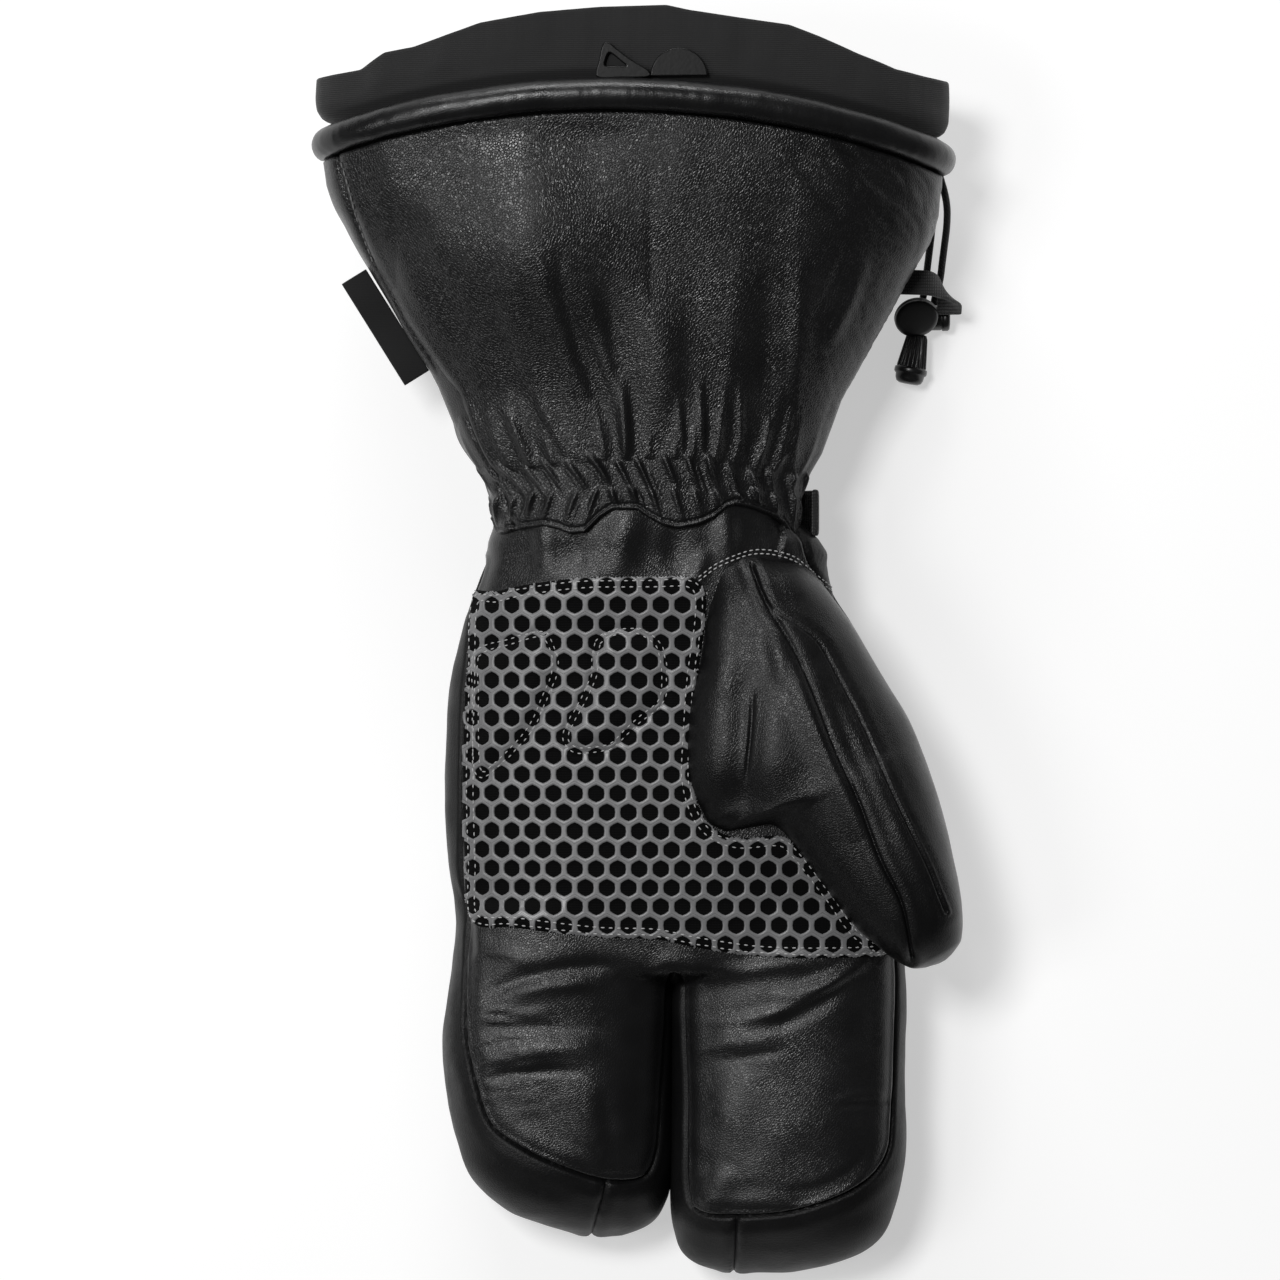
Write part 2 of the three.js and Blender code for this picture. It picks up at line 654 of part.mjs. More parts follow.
// Cord lock: a round button, tilted back, on a level barrel
function makeCordLock() {
  const button = new THREE.CylinderGeometry(buttonRadius, buttonRadius, buttonWall, 24);
  button.rotateX(degToRad(51));
  button.rotateZ(degToRad(-12));
  button.translate(lockPlace[0], lockPlace[1], buttonHeight);
  const length = barrelReach[1] - barrelReach[0];
  const barrel = new THREE.CylinderGeometry(barrelRadius, barrelRadius, length, 16);
  barrel.rotateZ(Math.PI / 2);
  barrel.translate(lockPlace[0] + (barrelReach[0] + barrelReach[1]) / 2, lockPlace[1], barrelRadius);
  return geometryOf(solidOf(button).add(solidOf(barrel)));
}

// Cord end: a tapered grip with a rim, that lies under the lock
function makeCordEnd() {
  const profile = [
    { along: 0, radius: 0 },
    { along: 0, radius: 0.56 },
    { along: 0.08, radius: 0.62 },
    { along: 0.66, radius: 0.86 },
    { along: 0.7, radius: 1 },
    { along: 0.78, radius: 1 },
    { along: 0.82, radius: 0.9 },
    { along: 0.94, radius: 0.82 },
    { along: 1, radius: 0.62 },
    { along: 1, radius: 0 },
  ].map(({ along, radius }) => new THREE.Vector2(radius * endRadius, -along * endLength));
  const end = new THREE.LatheGeometry(profile.reverse(), 16);
  end.rotateZ(endTurn);
  const clear = gap + endRadius * Math.abs(Math.sin(endTurn));
  end.translate(lockPlace[0] + endShift, lockPlace[1] - barrelRadius - clear, endRadius);
  return weld(end);
}

function makeStrand(points) {
  const route = new THREE.CatmullRomCurve3(points.map(([x, y, z]) => new THREE.Vector3(x, y, z)));
  const section = new THREE.Shape();
  for (let i = 0; i < cordSides; i += 1) {
    const turn = (i / cordSides) * 2 * Math.PI;
    const corner = [(cordDiameter / 2) * Math.cos(turn), (cordDiameter / 2) * Math.sin(turn)];
    if (i === 0) section.moveTo(...corner);
    else section.lineTo(...corner);
  }
  section.closePath();
  const steps = Math.ceil(route.getLength() / (2.2 * cordDiameter));
  return new THREE.ExtrudeGeometry(section, { steps, extrudePath: route });
}

// Clip on the sleeve, next to the roll
const rollEdge = gauntletPoint(mouthRow, Math.PI / 2, 0, 0).y + 2 * rollRadius + 2 * gap;
const clipSeat = mouthLift + mouthDepth - sleeveRows[3].face * sleeveInset + gap;

function makeClipTab() {
  const outline = new THREE.Shape();
  outline.absarc(clipTabAt, rollEdge, clipTabRadius, 0, Math.PI);
  outline.closePath();
  const options = { depth: clipWall, bevelEnabled: false, curveSegments: 6 };
  return new THREE.ExtrudeGeometry(outline, options).translate(0, 0, clipSeat);
}

function makeClipLoop() {
  const corner = (share, height) => new THREE.Vector2(clipLoopAt + share * clipLoopWidth, rollEdge + height);
  const outline = new THREE.Shape([
    corner(0, 0),
    corner(1, 0),
    corner(0.85, 0.22 * clipLoopHeight),
    corner(0.25, clipLoopHeight),
    corner(0.08, clipLoopHeight),
  ]);
  const inner = (share, height, dx) => corner(share, height).add(new THREE.Vector2(dx, 0));
  outline.holes.push(new THREE.Path([
    inner(0, clipLoopBar, clipLoopBar),
    inner(0.25, clipLoopHeight - clipLoopBar, 0),
    inner(0.85, clipLoopBar, -clipLoopBar),
  ]));
  return new THREE.ExtrudeGeometry(outline, { depth: clipWall, bevelEnabled: false })
    .translate(0, 0, clipSeat);
}

// Finishes
const leather = { color: 0x17171a, roughness: 0.42, metalness: 0 };
const softLeather = { color: 0x1a1a1c, roughness: 0.48, metalness: 0 };
const nylon = { color: 0x222224, roughness: 0.9, metalness: 0 };
const grip = { color: 0x6e6e70, roughness: 0.6, metalness: 0 };
const webbing = { color: 0x141416, roughness: 0.95, metalness: 0 };
const plastic = { color: 0x101012, roughness: 0.35, metalness: 0 };

const mitt = new THREE.Group();

function addPiece(name, geometry, finish) {
  const mesh = new THREE.Mesh(geometry, new THREE.MeshStandardMaterial(finish));
  mesh.name = name;
  mitt.add(mesh);
  return mesh;
}

const handShell = handBody(0).subtract(handBody(-padWall));
const passage = thumbPassage();
const palm = handShell
  .intersect(block({ z: [palmSeamHeight + gap / 2, handSpan] }))
  .subtract(passage);
const back = handShell.intersect(block({ z: [-handSpan, backSeamHeight - gap / 2] }));

// The side strips run round the hand. The fourchette lies between the two others at the fingers, and at
// the wrist those two meet under the back.
const strips = handShell.intersect(block({ z: [backSeamHeight + gap / 2, palmSeamHeight - gap / 2] }));
const outerSeam = crotchOffset - outerTipSeam;
const innerSeam = crotchOffset + innerTipSeam;
const fingerEnd = [-handSpan, -palmLength / 2];
const wristEnd = [-palmLength / 2, handSpan];
const outerStrip = block({ x: [-handSpan, outerSeam - gap / 2] })
  .add(block({ x: [-handSpan, wristOffset - gap / 2], y: wristEnd }))
  .intersect(strips);
const fourchette = block({ x: [outerSeam + gap / 2, innerSeam - gap / 2], y: fingerEnd }).intersect(strips);
const innerStrip = block({ x: [innerSeam + gap / 2, handSpan] })
  .add(block({ x: [wristOffset + gap / 2, handSpan], y: wristEnd }))
  .intersect(strips);
const thumb = thumbShell();
const patch = handBody(gap + patchWall)
  .subtract(handBody(gap))
  .intersect(patchPrism(0))
  .subtract(passage);

addPiece('gauntlet', makeGauntlet(), leather);
addPiece('cuff_roll', makeRoll(), leather);
addPiece('snow_sleeve', makeSleeve(), nylon);
addPiece('palm_panel', geometryOf(palm), softLeather);
addPiece('outer_side_strip', geometryOf(outerStrip), softLeather);
addPiece('fourchette', geometryOf(fourchette), softLeather);
addPiece('inner_side_strip', geometryOf(innerStrip), softLeather);
addPiece('back_panel', geometryOf(back), softLeather);
addPiece('grip_patch', geometryOf(patch), grip);
addPiece('thumb_inner_panel', geometryOf(thumb.intersect(besideThumbSeam(-1))), softLeather);
addPiece('thumb_outer_panel', geometryOf(thumb.intersect(besideThumbSeam(1))), softLeather);
addPiece('wrist_strap', makeStrap(), webbing);
addPiece('side_tab', makeSideTab(), webbing);
addPiece('lock_tab', makeLockTab(), webbing);
addPiece('clip_tab', makeClipTab(), plastic);
addPiece('clip_loop', makeClipLoop(), plastic);

// The origin is the middle of the box round the mitt without its drawcord, on the surface.
const box = new THREE.Box3().setFromObject(mitt);
mitt.position.set(-(box.min.x + box.max.x) / 2, -(box.min.y + box.max.y) / 2, -box.min.z);

addPiece('cord_lock', makeCordLock(), plastic);
addPiece('cord_end', makeCordEnd(), plastic);
for (const [name, points] of Object.entries(strandRoutes)) {
  addPiece(name, makeStrand(points), webbing);
}

export default mitt;
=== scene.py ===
# %% [markdown]
# # Lobster-claw winter mitt
# A left hand's winter mitt of padded black leather that lies on its back, palm up. It has a flared
# gauntlet with a padded roll and a nylon sleeve, a gathered wrist, a hand with two wide finger stalls,
# a thumb, and a grip patch with a raised net.
#
# Shapes are built in millimetres from the wrist seam, as the solids are: +X is the thumb's side, +Y
# runs to the gauntlet's mouth and +Z is up. They could be modelled by hand or sculpted. Here sums over
# arrays of points make them, so that each seam and fold is one row of a table that can be moved.

import itertools
import math

import bpy
import numpy as np
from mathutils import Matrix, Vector
from mathutils.bvhtree import BVHTree


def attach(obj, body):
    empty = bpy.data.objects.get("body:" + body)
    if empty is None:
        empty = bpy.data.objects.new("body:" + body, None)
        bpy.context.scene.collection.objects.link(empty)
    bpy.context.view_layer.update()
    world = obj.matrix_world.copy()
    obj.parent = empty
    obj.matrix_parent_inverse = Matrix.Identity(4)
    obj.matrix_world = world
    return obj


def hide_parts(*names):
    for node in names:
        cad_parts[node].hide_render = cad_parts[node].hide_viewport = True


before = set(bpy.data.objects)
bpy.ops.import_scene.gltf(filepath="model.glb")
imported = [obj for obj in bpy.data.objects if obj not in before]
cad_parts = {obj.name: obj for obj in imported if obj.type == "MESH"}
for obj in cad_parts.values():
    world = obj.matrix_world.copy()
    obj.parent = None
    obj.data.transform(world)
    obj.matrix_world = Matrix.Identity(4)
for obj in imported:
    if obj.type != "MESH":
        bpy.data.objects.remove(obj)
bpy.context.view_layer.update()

MM = 0.001
WRIST = np.array([-0.338, 39.75, 0.0])  # the middle of the wrist seam, in the frame


def to_frame(points):
    """Millimetres from the wrist seam to metres in the frame."""
    return (np.asarray(points, dtype=float) + WRIST) * MM


# %% [markdown]
# ## Camera
# The photo looks straight down on the palm. The camera could be turned and moved until the outlines
# agree. Here it hangs over the mitt's middle, as far off as a studio's long lens, and its focal length
# is worked out so that a pixel is a known length on the mitt.

# %% Camera
PHOTO_SIZE = 1280
PIXEL = 0.3  # millimetres for a pixel of the photo, PIXEL_HEIGHT above the surface
PIXEL_HEIGHT = 30.0
CAMERA = np.array([0.26, 2.55, 2000.0])
SENSOR = 36.0

camera_data = bpy.data.cameras.new("camera")
camera_data.sensor_width = SENSOR
camera_data.lens = SENSOR * (CAMERA[2] - PIXEL_HEIGHT) / (PHOTO_SIZE * PIXEL)
camera_data.clip_end = 20
camera = bpy.data.objects.new("camera", camera_data)
camera.location = CAMERA * MM
bpy.context.scene.collection.objects.link(camera)
bpy.context.scene.camera = camera
print("focal length", camera_data.lens)

# %% [markdown]
# ## Places in the photo
# Seams and folds are easiest to read off the photo as columns and rows. They could be measured on the
# mitt instead, but a padded mitt has no straight edges to measure from. These two functions go from a
# point of the mitt to its place in the photo, and back at a known height.

# %% Photo places
def in_photo(points):
    """The photo's columns and rows of points given in millimetres from the wrist seam."""
    points = np.asarray(points, dtype=float)[:, :3] + WRIST
    pixel = PIXEL * (CAMERA[2] - points[:, 2]) / (CAMERA[2] - PIXEL_HEIGHT)
    column = PHOTO_SIZE / 2 + (points[:, 0] - CAMERA[0]) / pixel
    row = PHOTO_SIZE / 2 - (points[:, 1] - CAMERA[1]) / pixel
    return np.stack([column, row], axis=1)


def from_photo(places, height):
    """The points in millimetres from the wrist seam that stand at the photo's places, at a height."""
    places = np.asarray(places, dtype=float)
    pixel = PIXEL * (CAMERA[2] - height) / (CAMERA[2] - PIXEL_HEIGHT)
    x = CAMERA[0] + (places[:, 0] - PHOTO_SIZE / 2) * pixel
    y = CAMERA[1] - (places[:, 1] - PHOTO_SIZE / 2) * pixel
    return np.stack([x, y, np.full(len(places), height)], axis=1) - WRIST


print("the wrist seam's middle is at", in_photo(np.zeros((1, 3)))[0])

# %% [markdown]
# ## Grids and lofts
# Sewn leather is a skin over padding, so most pieces are rings of points joined into a closed grid.
# Curves with a bevel or subdivided boxes could give the same forms. Plain arrays are used because folds
# and seams can then be added to all points at once.

# %% Mesh helpers
def make_mesh(name, points, faces, material, smooth=True):
    """An object from points in millimetres from the wrist seam."""
    mesh = bpy.data.meshes.new(name)
    mesh.from_pydata(to_frame(points).tolist(), [], np.asarray(faces).tolist())
    mesh.polygons.foreach_set("use_smooth", np.full(len(mesh.polygons), smooth))
    mesh.materials.append(material)
    mesh.update()
    piece = bpy.data.objects.new(name, mesh)
    bpy.context.scene.collection.objects.link(piece)
    print(name, len(points), "points")
    return piece


def grid_faces(rows, columns, round_columns=True, round_rows=False, start=0):
    """The quads of a grid of points, whose last column or row can join its first."""
    wide = columns if round_columns else columns - 1
    long = rows if round_rows else rows - 1
    row, column = np.meshgrid(np.arange(long), np.arange(wide), indexing="ij")
    next_row, next_column = (row + 1) % rows, (column + 1) % columns
    corners = [
        row * columns + column,
        row * columns + next_column,
        next_row * columns + next_column,
        next_row * columns + column,
    ]
    return np.stack([corner.ravel() for corner in corners], axis=1) + start


def grid_normals(grid, round_columns=True):
    """Unit normals of a grid of points, rows by columns by 3."""
    down = np.gradient(grid, axis=0)
    if round_columns:
        across = np.roll(grid, -1, axis=1) - np.roll(grid, 1, axis=1)
    else:
        across = np.gradient(grid, axis=1)
    normals = np.cross(across, down)
    return normals / np.maximum(np.linalg.norm(normals, axis=2, keepdims=True), 1e-9)


def triangles_of(faces):
    faces = np.asarray(faces)
    if faces.shape[1] == 3:
        return faces
    return np.concatenate([faces[:, [0, 1, 2]], faces[:, [0, 2, 3]]])


def mesh_normals(points, triangles):
    """Unit normals at the points of a triangle mesh."""
    a, b, c = (points[triangles[:, i]] for i in range(3))
    flat = np.cross(b - a, c - a)
    normals = np.zeros_like(points)
    for axis in range(3):
        for corner in range(3):
            normals[:, axis] += np.bincount(triangles[:, corner], flat[:, axis], len(points))
    return normals / np.maximum(np.linalg.norm(normals, axis=1, keepdims=True), 1e-12)


# %% [markdown]
# ## Rounding and cutting
# The padded hand is one body that seams divide into panels. A knife cut or a boolean could divide it,
# but both leave ragged steps along a curved seam. Each triangle that a seam crosses is cut exactly where
# a field, such as the distance from the seam, passes zero.

# %% Rounding and cutting
def rounded(points, triangles, times, share=0.5):
    """Moves each point towards the middle of its neighbours, a number of times."""
    edges = np.concatenate([triangles[:, [0, 1]], triangles[:, [1, 2]], triangles[:, [2, 0]]])
    one, other = edges[:, 0], edges[:, 1]
    count = np.bincount(one, minlength=len(points)) + np.bincount(other, minlength=len(points))
    points = points.copy()
    for _ in range(times):
        for axis in range(3):
            near = np.bincount(one, points[other, axis], len(points))
            near += np.bincount(other, points[one, axis], len(points))
            points[:, axis] += share * (near / np.maximum(count, 1) - points[:, axis])
    return points


def keep_faces(points, faces, kept):
    """The part of a mesh with the kept faces, and the numbers of the points that it keeps."""
    faces = faces[kept]
    used, flat = np.unique(faces, return_inverse=True)
    return points[used], flat.reshape(faces.shape), used


def split_mesh(points, triangles, field):
    """Cuts triangles where the field at their points passes zero. Returns all the points, with the new
    ones last, the triangles, and True for those on the side where the field is above zero."""
    above = field > 0
    mixed = above[triangles].any(axis=1) & ~above[triangles].all(axis=1)
    whole, cut = triangles[~mixed], triangles[mixed]
    odd = np.argmax(above[cut] == (above[cut].sum(axis=1) == 1)[:, None], axis=1)
    lone = cut[np.arange(len(cut)), odd]
    first = cut[np.arange(len(cut)), (odd + 1) % 3]
    second = cut[np.arange(len(cut)), (odd + 2) % 3]
    edges = np.sort(np.concatenate([np.stack([lone, first], 1), np.stack([lone, second], 1)]), axis=1)
    edges, place = np.unique(edges, axis=0, return_inverse=True)
    place = place.ravel() + len(points)
    share = field[edges[:, 0]] / (field[edges[:, 0]] - field[edges[:, 1]])
    new = points[edges[:, 0]] + share[:, None] * (points[edges[:, 1]] - points[edges[:, 0]])
    to_first, to_second = place[: len(cut)], place[len(cut) :]
    pieces = [
        whole,
        np.stack([lone, to_first, to_second], axis=1),
        np.stack([to_first, first, second], axis=1),
        np.stack([to_first, second, to_second], axis=1),
    ]
    sides = [above[whole[:, 0]], above[lone], ~above[lone], ~above[lone]]
    return np.concatenate([points, new]), np.concatenate(pieces), np.concatenate(sides)


# %% [markdown]
# ## Sections and tables
# A padded tube of leather is a slightly boxy oval wherever it is cut. Splines through sections could
# give the same, but overshoot where two sections lie close together. Tables hold the sections at a few
# places, and are read along a smooth line that never passes its own rows.

# %% Sections and tables
SECTION_POWER = 2.4  # how boxy every section is, where 2 is an ellipse


def section(angle, left, right, bottom, top):
    """x and z of points round an oval, and the outward direction at each."""
    half_width, half_depth = (right - left) / 2, (top - bottom) / 2
    cos, sin = np.cos(angle), np.sin(angle)
    x = (left + right) / 2 + half_width * np.sign(cos) * np.abs(cos) ** (2 / SECTION_POWER)
    z = (bottom + top) / 2 + half_depth * np.sign(sin) * np.abs(sin) ** (2 / SECTION_POWER)
    lean = 2 - 2 / SECTION_POWER
    out_x = np.sign(cos) * np.abs(cos) ** lean / half_width
    out_z = np.sign(sin) * np.abs(sin) ** lean / half_depth
    size = np.hypot(out_x, out_z)
    return x, z, out_x / size, out_z / size


def read_table(rows, at):
    """Every column after the first, read smoothly at the places given in the first column's terms."""
    table = np.array(rows, dtype=float)
    place, values = table[:, 0], table[:, 1:]
    step = np.diff(place)[:, None]
    slope = np.diff(values, axis=0) / step
    before, after = slope[:-1], slope[1:]
    tangent = np.zeros_like(values)
    same_way = before * after > 0
    tangent[1:-1] = np.where(same_way, 2 * before * after / np.where(same_way, before + after, 1), 0)
    tangent[0], tangent[-1] = slope[0], slope[-1]
    at = np.clip(np.asarray(at, dtype=float), place[0], place[-1])
    i = np.clip(np.searchsorted(place, at) - 1, 0, len(place) - 2)
    t = ((at - place[i]) / np.diff(place)[i])[..., None]
    width = step[i]
    read = (1 + 2 * t) * (1 - t) ** 2 * values[i] + t**2 * (3 - 2 * t) * values[i + 1]
    read += width * (t * (1 - t) ** 2 * tangent[i] + t**2 * (t - 1) * tangent[i + 1])
    return np.moveaxis(read, -1, 0)


# %% [markdown]
# ## Uneven leather
# Soft leather never lies quite flat over its padding. Blender's texture nodes could push the points
# out, but the noise is also wanted in sums with seams and folds. So it is a small function of its own,
# with a fixed seed.

# %% Noise
dice = np.random.default_rng(11)
NOISE_TURNS = dice.permutation(256)
NOISE_SLOPES = dice.normal(size=(256, 3))
NOISE_SLOPES /= np.linalg.norm(NOISE_SLOPES, axis=1, keepdims=True)


def noise(points, size):
    """Smooth noise from about -1 to 1, with lumps as big as size, which can differ with the axis."""
    scaled = np.asarray(points, dtype=float) / size
    cell = np.floor(scaled).astype(int)
    part = scaled - cell
    fade = part**3 * (part * (part * 6 - 15) + 10)
    total = np.zeros(scaled.shape[:-1])
    for corner in itertools.product((0, 1), repeat=3):
        corner = np.array(corner)
        x, y, z = np.moveaxis((cell + corner) & 255, -1, 0)
        slope = NOISE_SLOPES[NOISE_TURNS[(NOISE_TURNS[(NOISE_TURNS[x] + y) & 255] + z) & 255]]
        weight = np.prod(np.where(corner == 1, fade, 1 - fade), axis=-1)
        total += weight * ((part - corner) * slope).sum(axis=-1)
    return 1.6 * total


def creased(points, size):
    """Noise with sharp valleys, as soft leather has where it is pushed together."""
    return 2 * np.abs(noise(points, size)) ** 0.8 - 0.8


def smooth_step(low, high, value):
    t = np.clip((value - low) / (high - low), 0, 1)
    return t * t * (3 - 2 * t)


def bell(distance, width):
    return np.exp(-((distance / width) ** 2))


# %% [markdown]
# ## Seam lines
# A seam is a smooth line through a few places of the photo. A curve object could carry it, but what is
# needed is how far each point of the leather lies from the line, and on which side. Both are worked out
# for all points at once.

# %% Lines and outlines
def through(points, count, closed=False):
    """Evenly spread points on a smooth line through the given ones."""
    points = np.asarray(points, dtype=float)
    if closed:
        padded = np.concatenate([points[-1:], points, points[:2]])
    else:
        padded = np.concatenate([2 * points[:1] - points[1:2], points, 2 * points[-1:] - points[-2:-1]])
    line = []
    for a, b, c, d in zip(padded, padded[1:], padded[2:], padded[3:]):
        t = np.linspace(0, 1, 16, endpoint=False)[:, None]
        bend = (2 * a - 5 * b + 4 * c - d) * t**2 + (3 * b - a - 3 * c + d) * t**3
        line.append(0.5 * (2 * b + (c - a) * t + bend))
    last = padded[1:2] if closed else padded[-2:-1]
    line = np.concatenate(line + [last])
    run = np.concatenate([[0], np.cumsum(np.linalg.norm(np.diff(line, axis=0), axis=1))])
    want = np.linspace(0, run[-1], count, endpoint=not closed)
    return np.stack([np.interp(want, run, line[:, i]) for i in range(line.shape[1])], axis=1)


def line_distance(places, line, closed=False):
    """How far flat places are from a line, and how far along it their nearest point is."""
    starts = line if closed else line[:-1]
    ends = np.roll(line, -1, axis=0) if closed else line[1:]
    lengths = np.linalg.norm(ends - starts, axis=1)
    offsets = np.concatenate([[0], np.cumsum(lengths)[:-1]])
    best = np.full(len(places), np.inf)
    along = np.zeros(len(places))
    for start, end, length, offset in zip(starts, ends, lengths, offsets):
        run = (end - start) / max(length, 1e-9)
        t = np.clip((places - start) @ run, 0, length)
        distance = np.linalg.norm(places - start - t[:, None] * run, axis=1)
        nearer = distance < best
        best = np.where(nearer, distance, best)
        along = np.where(nearer, offset + t, along)
    return best, along


def inside_outline(places, outline):
    """Millimetres from a closed outline in the photo, above zero inside it."""
    distance, _ = line_distance(places, outline, closed=True)
    inside = np.zeros(len(places), dtype=bool)
    for (x0, y0), (x1, y1) in zip(outline, np.roll(outline, -1, axis=0)):
        spans = (y0 > places[:, 1]) != (y1 > places[:, 1])
        with np.errstate(divide="ignore", invalid="ignore"):
            crossing = x0 + (places[:, 1] - y0) * (x1 - x0) / (y1 - y0)
        inside ^= spans & (places[:, 0] < crossing)
    return PIXEL * np.where(inside, distance, -distance)


# %% [markdown]
# ## Folds
# Every broad fold, puff and crease of the real leather catches the light in its own place. Cloth
# simulation would fold it somewhere else, and sculpting couldn't be read or changed here. So each fold
# is a soft ridge, or a valley where its height is below zero, drawn by its two ends on the photo.

# %% Folds
FOLD_DIP = 0.35  # the dip on both sides of a fold, as a share of its height
FOLD_DIP_WIDTH = 2.4  # and as a share of its width
FOLD_END = 0.8  # how bluntly a fold ends


def folds(points, table):
    """Adds up folds drawn on the photo. Each runs from its start to its end, bowed sideways, with a
    width in pixels and a height in millimetres."""
    places = in_photo(points)
    total = np.zeros(len(points))
    for x0, y0, x1, y1, bow, width, height in table:
        start, run = np.array([x0, y0]), np.array([x1 - x0, y1 - y0])
        length = np.hypot(*run)
        along = (places - start) @ run / length**2
        aside = (places - start) @ np.array([-run[1], run[0]]) / length - 4 * bow * along * (1 - along)
        ends = np.sin(np.pi * np.clip(along, 0, 1)) ** FOLD_END
        total += height * ends * (bell(aside, width) - FOLD_DIP * bell(aside, FOLD_DIP_WIDTH * width))
    return total


# %% [markdown]
# ## Shader trees
# Every finish is a tree of nodes that reads the object's own coordinates, so it stays on the piece from
# all sides. Photographs of leather could be used as textures instead. Nodes are chosen because their
# grain has a size in metres and never repeats.

# %% Shader helpers
def new_material(name):
    material = bpy.data.materials.new(name)
    material.use_nodes = True
    tree = material.node_tree
    shader = tree.nodes["Principled BSDF"]
    place = tree.nodes.new("ShaderNodeTexCoord").outputs["Object"]
    return material, tree, shader, place


def add_node(tree, kind, inputs=(), **settings):
    """Adds a node, sets its properties, and links or sets its inputs by name."""
    node = tree.nodes.new(kind)
    for name, value in settings.items():
        setattr(node, name, value)
    for name, value in dict(inputs).items():
        if isinstance(value, bpy.types.NodeSocket):
            tree.links.new(value, node.inputs[name])
        else:
            node.inputs[name].default_value = value
    return node


def ramp(tree, value, low, high, to_low, to_high):
    """Maps a value's range onto another one."""
    inputs = {"Value": value, "From Min": low, "From Max": high, "To Min": to_low, "To Max": to_high}
    return add_node(tree, "ShaderNodeMapRange", inputs).outputs["Result"]


def mixed_color(tree, share, dark, light):
    node = tree.nodes.new("ShaderNodeMix")
    node.data_type = "RGBA"
    tree.links.new(share, node.inputs[0])
    node.inputs[6].default_value = (*dark, 1)
    node.inputs[7].default_value = (*light, 1)
    return node.outputs[2]


def finish_shader(tree, shader, share, color, spread, gloss):
    """Sets the colour, varied by a share that runs from 0 to 1, and the specular level."""
    dark, light = (tuple(level * part for part in color) for level in spread)
    tree.links.new(mixed_color(tree, share, dark, light), shader.inputs["Base Color"])
    shader.inputs["Specular IOR Level"].default_value = gloss


# %% [markdown]
# ## Leather
# The mitt's leather is nearly black, with a pebbled grain under 1 mm, finer wrinkles across it and
# places that are worn smoother. A single noise would look like sand. Three bumps are stacked instead:
# creases, then the edges between Voronoi cells as the pebbles' grooves, then a fine roughness.

# %% Leather
PEBBLE_GROOVE = 0.22  # how wide the groove between two pebbles is, as a share of a pebble
FINE_GRAIN = 2.2  # how much finer the last roughness is than the pebbles
WORN_SMOOTHER, WORN_ROUGHER = 0.05, 0.07
LEATHER_SPREAD = (0.8, 1.25)  # the darkest and the lightest leather, as shares of its colour


def leather(name, color, roughness, grain, grain_depth, crease_depth, gloss=0.5):
    """Black leather. grain is the pebbles' size in metres, and gloss is the specular level."""
    material, tree, shader, place = new_material(name)
    pebble = {"Vector": place, "Scale": 1 / grain}
    pebbles = add_node(tree, "ShaderNodeTexVoronoi", pebble, feature="DISTANCE_TO_EDGE")
    edges = ramp(tree, pebbles.outputs["Distance"], 0.0, PEBBLE_GROOVE, 0.0, 1.0)
    fine_sizes = {"Vector": place, "Scale": FINE_GRAIN / grain, "Detail": 3.0}
    fine = add_node(tree, "ShaderNodeTexNoise", fine_sizes)
    broad = add_node(tree, "ShaderNodeTexNoise", {"Vector": place, "Scale": 90.0, "Detail": 4.0})
    crease_sizes = {"Vector": place, "Scale": 260.0, "Detail": 5.0, "Distortion": 0.8}
    creases = add_node(tree, "ShaderNodeTexNoise", crease_sizes)
    bump = add_node(tree, "ShaderNodeBump", {"Height": creases.outputs[0], "Distance": crease_depth})
    for height, depth in ((edges, grain_depth), (fine.outputs[0], 0.5 * grain_depth)):
        below = bump.outputs[0]
        bump = add_node(tree, "ShaderNodeBump", {"Height": height, "Distance": depth, "Normal": below})
    tree.links.new(bump.outputs[0], shader.inputs["Normal"])
    worn = ramp(tree, broad.outputs[0], 0.3, 0.7, roughness - WORN_SMOOTHER, roughness + WORN_ROUGHER)
    tree.links.new(worn, shader.inputs["Roughness"])
    finish_shader(tree, shader, broad.outputs[0], color, LEATHER_SPREAD, gloss)
    return material


# name: color, roughness, grain, grain_depth, crease_depth, gloss
LEATHERS = {
    "gauntlet leather": ((0.005, 0.005, 0.0053), 0.31, 0.00078, 0.00006, 0.00006, 0.45),
    "roll leather": ((0.005, 0.005, 0.0053), 0.3, 0.0008, 0.00002, 0.00003, 0.45),
    "palm leather": ((0.005, 0.005, 0.0053), 0.33, 0.0007, 0.00004, 0.00006, 0.5),
    "side leather": ((0.004, 0.004, 0.0042), 0.46, 0.0008, 0.00004, 0.00005, 0.22),
    "back leather": ((0.006, 0.006, 0.0063), 0.43, 0.0011, 0.00006, 0.00008, 0.35),
    "thumb leather": ((0.004, 0.004, 0.0042), 0.34, 0.0007, 0.00004, 0.00005, 0.3),
}
leathers = {name: leather(name, *values) for name, values in LEATHERS.items()}
print(len(leathers), "leathers")

# %% [markdown]
# ## Cloth
# The sleeve, the grip patch, the webbing and the cord are woven. An image of a weave could be laid on
# them. Two wave textures across each other are used, because their pitch is the real one and they can
# be turned to run with the thread.

# %% Cloth
CROSS_THREADS = 0.6  # how many threads run one way for each that runs the other
CLOTH_SPREAD = (0.55, 1.4)


